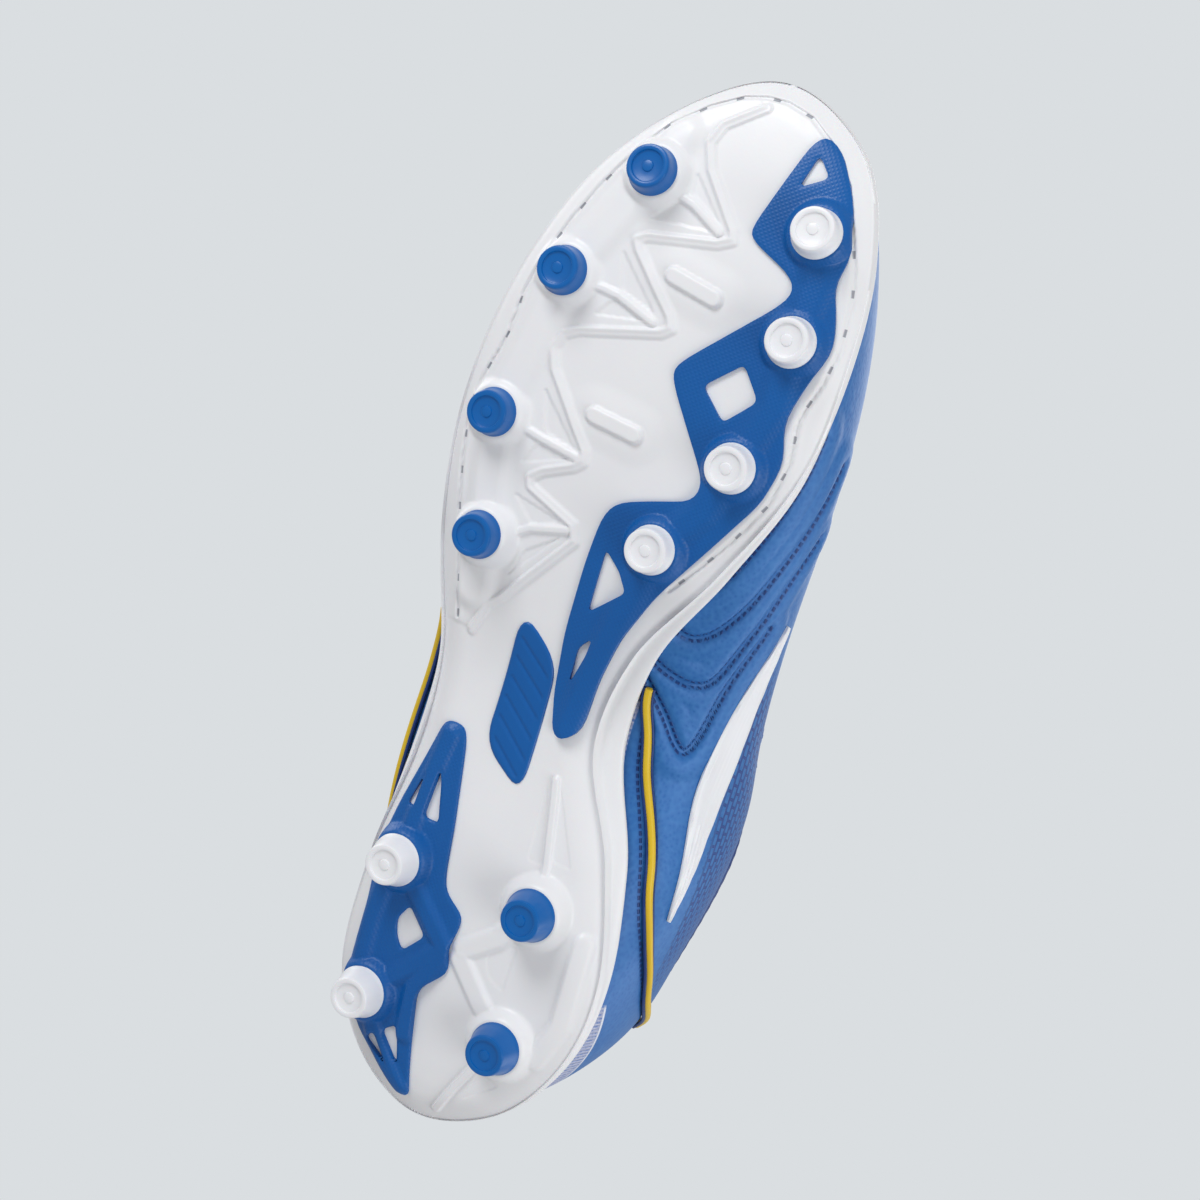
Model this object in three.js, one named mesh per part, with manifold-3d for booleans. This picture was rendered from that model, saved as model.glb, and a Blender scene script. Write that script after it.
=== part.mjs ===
// Football boot, right foot, with moulded firm-ground studs. Millimetres, +Z up.
// It stands on its stud tips at z = 0, +X points to the toe and +Y to the medial side.
import * as THREE from 'three';
import { mergeVertices } from 'three/addons/utils/BufferGeometryUtils.js';
import Module from 'manifold-3d';

const wasm = await Module();
wasm.setup();

// Driving dimensions. Shape functions use a sole frame whose x starts at the heel.
const GAP = 0.35;               // clearance between touching pieces
const ORIGIN = [141.7, -3.9];   // sole-frame point that the part's origin stands under
const PLATE_THICK = 2.4;
const RIM_WALL = 2;
const FEATHER_LIFT = 5.8;       // feather edge of the upper above the sole's underside
const RIM_LIFT = 3.2;           // how far the sole's rounded edge curls up
const WALL_HEEL = 8.2;         // top of the cupped side wall above the sole
const WALL_FORE = 7.2;
const STUD_TIP_R = 5.5;
const STUD_STEM_R = 2.6;
const STUD_STEM = 2.0;
const INSERT_PROUD = 1.3;
const SKIN = 1.3;               // outer material of the upper
const STIFFENER = 2.4;          // depth of the hidden stiffeners' outer face below the skin's face
const LINING = 4.1;             // depth of the lining's outer face
const OVERLAY = 0.7;            // height of the overlays' inner face above the skin's face
const STEP = 0.5;               // shells share these stations, so that their layers stay parallel

const GROUND_TO_SOLE = [[-12, 16], [0, 14.2], [10, 12.2], [30, 11], [60, 11], [80, 12.5], [100, 15],
  [120, 15.4], [140, 12.6], [160, 10], [180, 8.8], [200, 8.4], [220, 8.7], [240, 9.8], [260, 12.2],
  [275, 15.4], [290, 20]];

// Outline of the sole seen from below: station x, y, then the top edge of its side wall above the sole.
const OUTLINE = [[-2, -4, 12], [4, -19, 12], [14, -30, 12], [32, -37, 12], [62, -39, 11], [95, -37, 8.5],
  [125, -39.5, 7], [155, -47.5, 7], [188, -51.2, 7], [222, -47.2, 7], [252, -36, 7.5], [275, -20, 8],
  [286.5, -4, 8], [286.8, 10, 8], [277, 26.5, 8], [256, 38.6, 7.5], [230, 43.2, 7.4], [210, 40.6, 6.4],
  [196, 41.8, 7], [175, 33.4, 7.4], [152, 18.6, 7.4], [128, 10.2, 7.4], [106, 12, 8], [82, 26, 10],
  [56, 33.4, 12], [32, 31, 12], [12, 19.5, 12], [1, 5, 12]];

// Upper: outline point, opening point, then the two Bezier handles (bulge, rise) and (bulge, drop).
const UPPER = [
  [-1, -4, 3, -3, 85, 4, 22, 4, 24], [6, -21.5, 11, -18, 83.5, 3, 22, 5, 22],
  [28, -35.5, 30, -28, 77, 4, 22, 8, 22], [60, -37.5, 58, -34, 68.5, 8, 18, 6, 18],
  [92, -36, 84, -33, 77, 20, 12, 12, 22], [122, -38, 106, -20, 91, 21, 13, 24, 16],
  [155, -46, 132, -13, 84, 15, 17, 31, 9], [188, -49.5, 160, -9, 74.5, 10, 19, 37, 6],
  [222, -45.5, 184, -6, 66, 6, 22, 36, 4], [254, -33.5, 195, -2, 62.4, 3, 25, 36, 3],
  [277, -14, 198.5, 1.5, 61, 1, 27, 44, 3], [285, 5, 199, 4, 60.8, 1, 27, 46, 3],
  [274, 26.5, 198, 7, 61, 1, 26, 42, 3], [252, 37.5, 193, 10.5, 63, 3, 24, 34, 3],
  [226, 41, 180, 13, 67.5, 7, 21, 32, 5], [198, 39.5, 160, 16, 75, 11, 18, 29, 9],
  [168, 28, 138, 19.5, 83, 22, 13, 27, 13], [140, 13.5, 116, 25, 90.5, 37, 9, 22, 18],
  [112, 10.5, 98, 35.5, 86.5, 41, 6, 13, 22], [84, 24, 82, 41, 76.5, 27, 10, 5, 22],
  [56, 31.5, 56, 38.5, 69.5, 13, 17, 4, 18], [31, 29, 30, 30, 77, 8, 21, 7, 22],
  [10, 16.5, 11, 14, 83.5, 6, 22, 6, 22]];

const LATERAL_STUDS = [['front', 258, -19, 2.9, 10], ['second', 227.6, -33, 0.7, 5],
  ['third', 187.5, -39.5, 0, 0], ['rear', 156.3, -33.4, 0, 0]];
const MEDIAL_STUDS = [['front', 255.8, 26.1, 2.9, 10], ['second', 229.1, 29.4, 0.7, 5],
  ['third', 195.1, 25.4, 0, 0], ['rear', 169, 12.4, 0, 0]];
const HEEL_STUDS = [['heel_lateral_front', 65, -29.2], ['heel_lateral_rear', 26.4, -27.4],
  ['heel_medial_front', 67, 11.7], ['heel_medial_rear', 29, 14]];
const FORE_STUD = { height: 4.6, baseR: 6.2 };
const HEEL_STUD = { height: 6.6, baseR: 7.0 };

// Forefoot insert in plan, tail first, and its four windows.
const FORE_INSERT = [[111.6, 1.8], [114, -1.2], [122.5, -3.6], [140, -5], [160, -4.6], [172, -3.7],
  [176.6, -1], [179.5, 6], [183.4, 17.2], [187, 19.2], [191, 17.6], [208.5, 4.4], [212.6, 2.3],
  [216, 4.2], [235.5, 22.6], [240, 25.2], [243.6, 22.6], [248.8, 10.6], [251.4, 9.4], [275, 16],
  [278, 18.8], [274.6, 24.2], [264.5, 31], [252, 35.4], [244.5, 34], [238, 37], [229.5, 39.2],
  [221, 36.2], [210, 33.6], [200, 36.8], [189, 34.4], [173, 25.3], [157, 15.8], [143.6, 10.2],
  [130, 7.3], [115, 6.3]];
const FORE_WINDOWS = [[[264, 16.8], [273, 18.8], [268.3, 23.4]],
  [[211.6, 11], [219.8, 19.4], [212.3, 25.8], [204.6, 18.8]],
  [[147, -0.4], [164.4, -0.2], [160, 5], [155.8, 8.7]], [[126, -0.3], [137, -0.4], [141, 3], [136, 2.6]]];
// Heel insert in plan and its windows.
const HEEL_INSERT = [[104.6, -29.5], [104.6, -25], [101.6, -23.2], [80, -18], [65.3, -15.4],
  [61.2, -13.6], [57.3, -7.3], [53.5, -7.1], [47.5, -8.3], [41.2, -6], [33, -13], [19.8, -10.7],
  [2.4, -7.2], [1.4, -9.5], [5.5, -15.5], [15.3, -27.6], [28, -34.6], [47, -34.6], [66.2, -37],
  [79, -35.4], [102.7, -30.9]];
const HEEL_WINDOWS = [[[79.4, -32.8], [90, -30.3], [79.4, -30.3]],
  [[77.8, -26.9], [92.5, -26.8], [77.8, -22.3]],
  [[41, -20.9], [44.4, -23.6], [49, -24.9], [54, -22.3], [47.6, -15.6]],
  [[14.6, -22.6], [16, -20.8], [9.8, -15.8]], [[18, -17.4], [19.8, -15.6], [10.6, -13.7]]];
const BADGE = [[95, -6], [101, -15.5], [106, -18.2], [136, -18.2], [139, -15.6], [133, -8], [128, -5],
  [98, -4]];
const CENTRE_BARS = [[194.8, -8, 8, 2.4], [233.4, 0.5, 8, 2.4]];

// The seam of the rear panel climbs from the waist to the collar: upper station, share of the meridian.
const SEAM_MEDIAL = [[17.1, 0], [17.6, 0.1], [18.4, 0.14], [19.2, 0.15], [19.7, 0.22], [20.4, 0.42],
  [21.2, 0.93]];
const SEAM_LATERAL = [[5.4, 0], [5, 0.1], [4.3, 0.15], [3.5, 0.17], [2.9, 0.24], [2.2, 0.44],
  [1.4, 0.93]];

const material = (color, roughness = 0.6, metalness = 0) =>
  new THREE.MeshStandardMaterial({ color, roughness, metalness });
const WHITE_TPU = '#E4E6EA';
const BLUE_TPU = '#0A58A6';
const BLUE_LEATHER = '#3A74B8';
const YELLOW = '#E1BE2D';
const GREY = '#A9B0C4';
const NAVY = '#1B3F7A';

// A smooth curve through hand-set rows, uniform Catmull-Rom in each column.
function spline(rows, t, closed) {
  const n = rows.length;
  const i = Math.floor(t);
  const f = t - i;
  const row = (k) => (closed ? rows[((k % n) + n) % n] : rows[Math.min(n - 1, Math.max(0, k))]);
  const [a, b, c, d] = [row(i - 1), row(i), row(i + 1), row(i + 2)];
  return b.map((_, k) => 0.5 * (2 * b[k] + (c[k] - a[k]) * f
    + (2 * a[k] - 5 * b[k] + 4 * c[k] - d[k]) * f * f
    + (3 * b[k] - 3 * c[k] + d[k] - a[k]) * f * f * f));
}

// Height of the sole's underside at x: smooth steps between the given heights.
function soleZ(x) {
  const rows = GROUND_TO_SOLE;
  let i = 0;
  while (i < rows.length - 2 && x > rows[i + 1][0]) i += 1;
  const slope = (k) => {
    const lo = rows[Math.max(0, k - 1)];
    const hi = rows[Math.min(rows.length - 1, k + 1)];
    return (hi[1] - lo[1]) / (hi[0] - lo[0]);
  };
  const [x0, z0] = rows[i];
  const [x1, z1] = rows[i + 1];
  const h = x1 - x0;
  const f = Math.min(1, Math.max(0, (x - x0) / h));
  return (1 + 2 * f) * (1 - f) ** 2 * z0 + f * (1 - f) ** 2 * h * slope(i)
    + f * f * (3 - 2 * f) * z1 + f * f * (f - 1) * h * slope(i + 1);
}

// Outline point k (0 to 1 round the sole) moved inward by `inset`.
function outline(k, inset = 0) {
  const t = k * OUTLINE.length;
  const p = spline(OUTLINE, t, true);
  const q = spline(OUTLINE, t + 0.02, true);
  const o = spline(OUTLINE, t - 0.02, true);
  const d = [q[0] - o[0], q[1] - o[1]];
  const len = Math.hypot(d[0], d[1]);
  return { x: p[0] - (d[1] / len) * inset, y: p[1] + (d[0] / len) * inset, wall: p[2] };
}

// Direction in plan in which the upper bulges at a sole point, along Y on the sides and X at the ends.
function outward(x, y) {
  const ex = x > 225 ? Math.min(1, (x - 225) / 62) : -Math.min(1, Math.max(0, (34 - x) / 35));
  return [ex, Math.sign(y - 1) * Math.sqrt(Math.max(0, 1 - ex * ex))];
}

// Point on the outer face of the upper: station u, share v from the feather edge to the opening.
function upperPoint(u, v) {
  const [ox, oy, tx, ty, tz, b1, h1, b2, h2] = spline(UPPER, u, true);
  const a = outward(ox, oy);
  const z0 = soleZ(ox) + FEATHER_LIFT;
  const p0 = [ox, oy, z0];
  const p1 = [ox + a[0] * b1, oy + a[1] * b1, z0 + h1];
  const p2 = [tx + a[0] * b2, ty + a[1] * b2, tz - h2];
  const p3 = [tx, ty, tz];
  const w = [(1 - v) ** 3, 3 * v * (1 - v) ** 2, 3 * v * v * (1 - v), v ** 3];
  return p0.map((_, k) => w[0] * p0[k] + w[1] * p1[k] + w[2] * p2[k] + w[3] * p3[k]);
}

// The same point moved along the face's normal, out for a positive offset.
function upperOffset(u, v, offset) {
  const e = 0.02;
  const p = new THREE.Vector3(...upperPoint(u, v));
  const du = new THREE.Vector3(...upperPoint(u + 0.1, v)).sub(new THREE.Vector3(...upperPoint(u - 0.1, v)));
  const dv = new THREE.Vector3(...upperPoint(u, Math.min(1, v + e)))
    .sub(new THREE.Vector3(...upperPoint(u, Math.max(0, v - e))));
  const n = du.cross(dv).normalize();
  return p.addScaledVector(n, offset);
}

// A closed shell from a grid function at(i, j, side), side 0 outer and 1 inner.
function shell(nu, nv, at, wrap = false) {
  const pos = [];
  const idx = [];
  const cols = wrap ? nu : nu + 1;
  const id = (i, j, s) => ((i % cols) * (nv + 1) + j) * 2 + s;
  for (let i = 0; i < cols; i += 1) {
    for (let j = 0; j <= nv; j += 1) {
      for (const s of [0, 1]) pos.push(...at(i / nu, j / nv, s));
    }
  }
  const quad = (a, b, c, d) => idx.push(a, b, c, a, c, d);
  for (let i = 0; i < nu; i += 1) {
    for (let j = 0; j < nv; j += 1) {
      quad(id(i, j, 0), id(i, j + 1, 0), id(i + 1, j + 1, 0), id(i + 1, j, 0));
      quad(id(i, j, 1), id(i + 1, j, 1), id(i + 1, j + 1, 1), id(i, j + 1, 1));
    }
    quad(id(i, 0, 0), id(i + 1, 0, 0), id(i + 1, 0, 1), id(i, 0, 1));
    quad(id(i, nv, 0), id(i, nv, 1), id(i + 1, nv, 1), id(i + 1, nv, 0));
  }
  if (!wrap) {
    for (let j = 0; j < nv; j += 1) {
      quad(id(0, j, 0), id(0, j, 1), id(0, j + 1, 1), id(0, j + 1, 0));
      quad(id(nu, j, 0), id(nu, j + 1, 0), id(nu, j + 1, 1), id(nu, j, 1));
    }
  }
  const g = new THREE.BufferGeometry();
  g.setAttribute('position', new THREE.Float32BufferAttribute(pos, 3));
  g.setIndex(idx);
  return g;
}

// Signed volume, so that every shell ends with its faces pointing out.
function facingOut(g) {
  const p = g.attributes.position;
  const a = g.index.array;
  const v = [0, 1, 2].map(() => new THREE.Vector3());
  let sum = 0;
  for (let i = 0; i < a.length; i += 3) {
    v.forEach((w, k) => w.fromBufferAttribute(p, a[i + k]));
    sum += v[0].dot(v[1].clone().cross(v[2]));
  }
  if (sum < 0) {
    for (let i = 0; i < a.length; i += 3) [a[i + 1], a[i + 2]] = [a[i + 2], a[i + 1]];
  }
  return g;
}

// A piece of the upper between two stations and two shares of the meridian, at two depths.
function upperShell(u0, u1, v0, v1, nv, outer, inner, wrap = false) {
  const stations = [u0];
  for (let u = Math.ceil(u0 / STEP + 0.2) * STEP; u < u1 - 0.1; u += STEP) stations.push(u);
  stations.push(u1);
  return facingOut(shell(stations.length - 1, nv, (a, b, s) => {
    const u = stations[Math.round(a * (stations.length - 1))];
    const lo = v0(u);
    return upperOffset(u, lo + (v1(u) - lo) * b, s ? inner : outer).toArray();
  }, wrap));
}

// manifold-3d helpers: only joins and cuts.
function solid(geometry) {
  const g = geometry.clone();
  for (const name of ['normal', 'uv']) g.deleteAttribute(name);
  const m = mergeVertices(g, 1e-4);
  return new wasm.Manifold(new wasm.Mesh({
    numProp: 3,
    vertProperties: new Float32Array(m.attributes.position.array),
    triVerts: new Uint32Array(m.index.array),
  }));
}
function geometryOf(manifold) {
  const m = manifold.getMesh();
  const g = new THREE.BufferGeometry();
  g.setAttribute('position', new THREE.Float32BufferAttribute(m.vertProperties, 3));
  g.setIndex([...m.triVerts]);
  return g;
}

// Every point of a closed plan outline moved outward by `grow`, keeping its corners.
function grown(points, grow) {
  const n = points.length;
  const area = points.reduce((sum, p, i) => {
    const q = points[(i + 1) % n];
    return sum + p[0] * q[1] - q[0] * p[1];
  }, 0);
  const side = Math.sign(area) * grow;
  return points.map((p, i) => {
    const a = points[(i + n - 1) % n];
    const b = points[(i + 1) % n];
    const e = new THREE.Vector2(p[1] - a[1], a[0] - p[0]).normalize();
    const f = new THREE.Vector2(b[1] - p[1], p[0] - b[0]).normalize();
    const m = e.add(f);
    const k = side / Math.max(0.5, m.lengthSq() / 2);
    return new THREE.Vector2(p[0] + m.x * k, p[1] + m.y * k);
  });
}

// A flat outline with windows, pushed up through the sole and grown in plan by `grow`.
function prism(points, windows, grow = 0) {
  const shape = new THREE.Shape(grown(points, grow));
  for (const w of windows) shape.holes.push(new THREE.Path(grown(w, -grow)));
  return solid(new THREE.ExtrudeGeometry(shape, { depth: 60, bevelEnabled: false }).translate(0, 0, -10));
}

// How far inside the sole's outline a plan point lies.
const EDGE = Array.from({ length: 140 }, (_, i) => outline(i / 140));
const edgeDistance = (x, y) => Math.min(...EDGE.map((p) => Math.hypot(p.x - x, p.y - y)));
const edgeCurl = (x, y) => RIM_LIFT * Math.max(0, 1 - edgeDistance(x, y) / 9) ** 2;

// A slab that follows the sole's underside, from `low` to `high` above it.
const TOE_T = 12.5 / OUTLINE.length;
function soleSlab(inset, low, high, nx, ny) {
  return solid(facingOut(shell(nx, ny, (a, b, s) => {
    const lateral = outline(TOE_T * a, inset);
    const medial = outline(1 - (1 - TOE_T) * a, inset);
    const x = lateral.x + (medial.x - lateral.x) * b;
    const y = lateral.y + (medial.y - lateral.y) * b;
    return [x, y, soleZ(x) + edgeCurl(x, y) + (s ? low : high)];
  })));
}

const root = new THREE.Group();
root.position.set(-ORIGIN[0], -ORIGIN[1], 0);
function add(name, geometry, color, roughness, metalness) {
  const mesh = new THREE.Mesh(geometry, material(color, roughness, metalness));
  mesh.name = name;
  root.add(mesh);
  return mesh;
}

// Studs: a tapered moulded stud with a flat tip and a stem that sits in the sole.
function studGeometry({ height, baseR }) {
  const profile = [[0, 0], [STUD_TIP_R - 0.5, 0], [STUD_TIP_R, 0.5], [baseR - 0.3, height - 0.6],
    [baseR, height], [STUD_STEM_R, height], [STUD_STEM_R, height + STUD_STEM], [0, height + STUD_STEM]];
  const g = new THREE.LatheGeometry(profile.map(([r, z]) => new THREE.Vector2(r, z)), 14);
  return g.rotateX(Math.PI / 2);
}
const STUDS = [
  ...LATERAL_STUDS.map(([n, x, y, z, tilt]) => [`stud_lateral_${n}`, x, y, z, tilt, FORE_STUD, BLUE_TPU, false]),
  ...MEDIAL_STUDS.map(([n, x, y, z, tilt]) => [`stud_medial_${n}`, x, y, z, tilt, FORE_STUD, WHITE_TPU, true]),
  ...HEEL_STUDS.map(([n, x, y]) => [`stud_${n}`, x, y, 0, 0, HEEL_STUD,
    n.includes('medial') ? BLUE_TPU : WHITE_TPU, n.includes('lateral')]),
];

// Solids in a stud's own frame: the mound that it stands on, and the room its base and stem take.
function studSolid([, x, y, z, tilt], profile, sides) {
  const m = new THREE.Matrix4().makeRotationY(THREE.MathUtils.degToRad(-tilt)).setPosition(x, y, z);
  const points = profile.map(([r, h]) => new THREE.Vector2(r, h));
  return solid(new THREE.LatheGeometry(points, sides).rotateX(Math.PI / 2).applyMatrix4(m));
}
function mound(stud, grow) {
  const [, x, , z, , size] = stud;
  const from = size.height + GAP - grow;
  const to = Math.max(soleZ(x) + 1.5 - z, from + 1.2);
  const r = size.baseR + 1.3 + grow;
  return studSolid(stud, [[0, from], [r, from], [r + 3.5, to], [0, to]], 18);
}
function studRoom(stud) {
  const { height, baseR } = stud[5];
  const deep = height + STUD_STEM + GAP;
  return studSolid(stud, [[0, -5], [baseR + 3, -5], [baseR + 3, height + GAP],
    [STUD_STEM_R + GAP, height + GAP], [STUD_STEM_R + GAP, deep], [0, deep]], 14);
}

// Outsole plate with its cupped side wall, mounds under the white side's studs and two centre bars.
const N = UPPER.length;
function wallShare(u) {
  const [x] = spline(UPPER, u, true);
  const top = soleZ(x) + WALL_FORE + (WALL_HEEL - WALL_FORE) * Math.min(1, Math.max(0, (115 - x) / 50));
  let v = 0.01;
  while (v < 0.3 && upperPoint(u, v)[2] < top) v += 0.005;
  return v;
}
const rimWall = solid(facingOut(shell(N * 2, 2, (a, b, s) => {
  const u = a * N;
  const p = upperOffset(u, b > 0.6 ? wallShare(u) : 0, s ? OVERLAY + 0.5 : OVERLAY + RIM_WALL);
  if (b < 0.4) p.z -= 2.6;
  return p.toArray();
}, true)));
let plate = soleSlab(0.2, 0, PLATE_THICK, 32, 8).add(rimWall);
for (const [x, y, length, half] of CENTRE_BARS) {
  const bar = new THREE.BoxGeometry(half * 2, length * 2, 4).translate(x, y, soleZ(x) + 0.6);
  plate = plate.add(solid(bar));
}
const inlay = (low, high) => soleSlab(0.3, low, high, 20, 4);
const POCKET = 0.9;
for (const [points, windows] of [[FORE_INSERT, FORE_WINDOWS], [HEEL_INSERT, HEEL_WINDOWS]]) {
  plate = plate.subtract(prism(points, windows, GAP).intersect(inlay(-4, POCKET)));
}
let foreInsert = prism(FORE_INSERT, FORE_WINDOWS).intersect(inlay(-INSERT_PROUD, POCKET - GAP));
let heelInsert = prism(HEEL_INSERT, HEEL_WINDOWS).intersect(inlay(-INSERT_PROUD, POCKET - GAP));
for (const stud of STUDS) {
  const [name, , , , , , , onInsert] = stud;
  const room = studRoom(stud);
  if (onInsert) {
    const cover = mound(stud, 0).intersect(inlay(-12, POCKET - GAP));
    plate = plate.subtract(mound(stud, GAP).intersect(inlay(-12, POCKET)));
    if (name.includes('heel')) heelInsert = heelInsert.add(cover);
    else foreInsert = foreInsert.add(cover);
  } else {
    plate = plate.add(mound(stud, 0).intersect(inlay(-12, 1.2)));
  }
  plate = plate.subtract(room);
  heelInsert = heelInsert.subtract(room);
  foreInsert = foreInsert.subtract(room);
}
add('outsole_plate', geometryOf(plate), WHITE_TPU, 0.45);
add('forefoot_insert', geometryOf(foreInsert), BLUE_TPU, 0.5);
add('heel_insert', geometryOf(heelInsert), BLUE_TPU, 0.5);
const badge = prism(BADGE, []).intersect(soleSlab(1, -0.9, -GAP, 20, 4));
add('arch_badge', geometryOf(badge), BLUE_TPU, 0.4);
for (const [name, x, y, z, tilt, size, color] of STUDS) {
  const stud = add(name, studGeometry(size), color, 0.4);
  stud.rotation.y = THREE.MathUtils.degToRad(-tilt);
  stud.position.set(x, y, z);
}

// Lasting board and sockliner, stacked on the plate inside the lined upper.
const boardLow = PLATE_THICK + 1.2;
const board = soleSlab(8.5, boardLow, boardLow + 1.5, 20, 3);
add('lasting_board', geometryOf(board), '#B9A98C', 0.9);
const linerLow = boardLow + 1.5 + 0.5;
const liner = soleSlab(9.5, linerLow, linerLow + 3, 20, 3);
add('sockliner', geometryOf(liner), NAVY, 0.95);

// Upper. Each skin piece is a shell between two stations; the rear panel's seam splits the sides.
const FEATHER = () => 0.004;
const OPENING = () => 0.99;
const SEAM_GAP = 0.008;
function seam(rows, u) {
  const up = rows[0][0] < rows[rows.length - 1][0] ? 1 : -1;
  for (let i = 0; i < rows.length - 1; i += 1) {
    const [a, va] = rows[i];
    const [b, vb] = rows[i + 1];
    if ((u - a) * up <= (b - a) * up) return va + (vb - va) * Math.max(0, (u - a) / (b - a));
  }
  const [a, va] = rows[rows.length - 2];
  const [b, vb] = rows[rows.length - 1];
  return Math.min(0.985, vb + ((vb - va) / (b - a)) * (u - b));
}
const VAMP_FROM = 5.4;
const VAMP_TO = 17.1;
const under = (rows) => (u) => seam(rows, u) - SEAM_GAP;
const over = (rows) => (u) => seam(rows, u) + SEAM_GAP;
add('vamp', upperShell(VAMP_FROM, VAMP_TO, FEATHER, OPENING, 8, 0, -SKIN), BLUE_LEATHER, 0.45);
add('medial_quarter', upperShell(VAMP_TO + 0.03, 21.2, over(SEAM_MEDIAL), OPENING, 7, 0, -SKIN),
  BLUE_LEATHER, 0.45);
add('lateral_quarter', upperShell(1.4, VAMP_FROM - 0.03, over(SEAM_LATERAL), OPENING, 7, 0, -SKIN),
  BLUE_LEATHER, 0.45);
add('rear_panel_medial', upperShell(17.25, N - 0.01, FEATHER, under(SEAM_MEDIAL), 6, 0, -SKIN),
  BLUE_LEATHER, 0.6);
add('rear_panel_lateral', upperShell(0.01, 5.25, FEATHER, under(SEAM_LATERAL), 6, 0, -SKIN),
  BLUE_LEATHER, 0.6);
add('heel_strip', upperShell(-0.4, 0.4, () => 0.2, () => 0.97, 8, OVERLAY + 1, OVERLAY), GREY, 0.8);

// Throat reinforcement, collar, linings and the two hidden stiffeners.
const throatEdge = () => 0.84;
add('eyestay_lateral', upperShell(5, 11, throatEdge, OPENING, 2, OVERLAY + 1, OVERLAY), NAVY, 0.5);
add('eyestay_medial', upperShell(11.05, 17.5, throatEdge, OPENING, 2, OVERLAY + 1, OVERLAY), NAVY, 0.5);
const REAR_FROM = 18;
const REAR_TO = N + 4.5;
add('collar_pad', upperShell(REAR_FROM, REAR_TO, () => 0.76, () => 0.97, 3, -STIFFENER, -6.5), NAVY, 0.9);
const collarPath = Array.from({ length: 25 }, (_, i) => {
  const u = REAR_FROM + 0.3 + ((REAR_TO - REAR_FROM - 0.6) * i) / 24;
  return upperOffset(u, 1, -2.6).add(new THREE.Vector3(0, 0, 2.9));
});
function tube(points, radius, sides, steps, flat = 1) {
  const path = new THREE.CatmullRomCurve3(points);
  const section = new THREE.Shape(Array.from({ length: sides }, (_, i) => {
    const a = (i / sides) * Math.PI * 2;
    return new THREE.Vector2(Math.cos(a) * radius, Math.sin(a) * radius * flat);
  }));
  return new THREE.ExtrudeGeometry(section, { steps, bevelEnabled: false, extrudePath: path });
}
add('collar_binding', tube(collarPath, 2, 8, 30), BLUE_LEATHER, 0.7);
const LINING_COLOR = '#C9CED6';
const STIFF_COLOR = '#D9D2C0';
add('lining_front', upperShell(5.5, 17.5, () => 0.05, () => 0.96, 8, -LINING, -LINING - 1),
  LINING_COLOR, 0.9);
add('lining_rear', upperShell(17.55, N + 5.45, () => 0.05, () => 0.74, 6, -LINING, -LINING - 1),
  LINING_COLOR, 0.9);
add('toe_puff', upperShell(8.5, 14, () => 0.05, () => 0.42, 4, -STIFFENER, -STIFFENER - 1),
  STIFF_COLOR, 0.7);
add('heel_counter', upperShell(20, N + 3, () => 0.05, () => 0.6, 5, -STIFFENER, -STIFFENER - 1),
  STIFF_COLOR, 0.7);

// Tongue: a padded sheet under the throat, sewn at its foot, rising behind the laces.
const TONGUE = [[202, 3.6, 54, 14, 2], [190, 3.4, 58.5, 17, 4], [165, 3.2, 67.5, 21, 6],
  [138, 3.6, 77, 22, 7], [114, 3.6, 84, 21, 8], [98, 4.2, 95, 22, 9], [88, 4.2, 112, 21, 8]];
const TONGUE_THICK = 4;
const tongue = facingOut(shell(18, 8, (a, b, s) => {
  const [x, y, z, half, drop] = spline(TONGUE, a * (TONGUE.length - 1), false);
  const k = b * 2 - 1;
  const back = s ? TONGUE_THICK : 0;
  const rise = a > 0.7 ? (a - 0.7) * 2.2 : 0.25;
  return [x + back * rise, y + half * k, z - drop * k * k - back];
}));
add('tongue', tongue, BLUE_LEATHER, 0.7);

// Lace, wound from side to side over the throat, with both ends tucked behind the top row.
const ROWS = 6;
const LACE_LIFT = 6.4;
const LACE_CROWN = 4.5;
const laceAt = (row, side, v) => upperOffset(side ? 13.55 + 0.73 * row : 8.6 - 0.64 * row, v, LACE_LIFT);
const lacePoints = [];
for (let row = 0; row < ROWS; row += 1) {
  const from = row % 2;
  const a = laceAt(row, from, 0.93);
  const b = laceAt(row, 1 - from, 0.93);
  lacePoints.push(a, a.clone().lerp(b, 0.5).add(new THREE.Vector3(0, 0, LACE_CROWN)), b);
  if (row < ROWS - 1) lacePoints.push(laceAt(row + 0.5, 1 - from, 0.88));
}
add('lace', tube(lacePoints, 1.5, 6, 72), BLUE_LEATHER, 0.8);

// Piping along the rear panel's seam, and a plain tapered stripe on each side.
function piping(rows) {
  const u0 = rows[0][0];
  const u1 = rows[rows.length - 1][0];
  return tube(Array.from({ length: 15 }, (_, i) => {
    const u = u0 + ((u1 - u0) * (i + 0.6)) / 15;
    return upperOffset(u, Math.max(wallShare(u) + 0.04, seam(rows, u)), OVERLAY + 1.1);
  }), 0.9, 6, 28);
}
add('piping_medial', piping(SEAM_MEDIAL), YELLOW, 0.5);
add('piping_lateral', piping(SEAM_LATERAL), YELLOW, 0.5);
const STRIPE_WIDTH = 0.055;
function stripe(u0, u1, va, vb) {
  const middle = (u) => va + ((vb - va) * (u - u0)) / (u1 - u0);
  const half = (u) => 0.006 + STRIPE_WIDTH * Math.sin((Math.PI * (u - u0)) / (u1 - u0)) ** 0.8;
  return upperShell(u0, u1, (u) => middle(u) - half(u), (u) => middle(u) + half(u), 2, OVERLAY + 0.8,
    OVERLAY);
}
add('side_stripe_medial', stripe(16, 19.4, 0.42, 0.3), '#F2F3F5', 0.4);
add('side_stripe_lateral', stripe(3.1, 6.5, 0.3, 0.42), '#F2F3F5', 0.4);

export default root;
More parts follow.
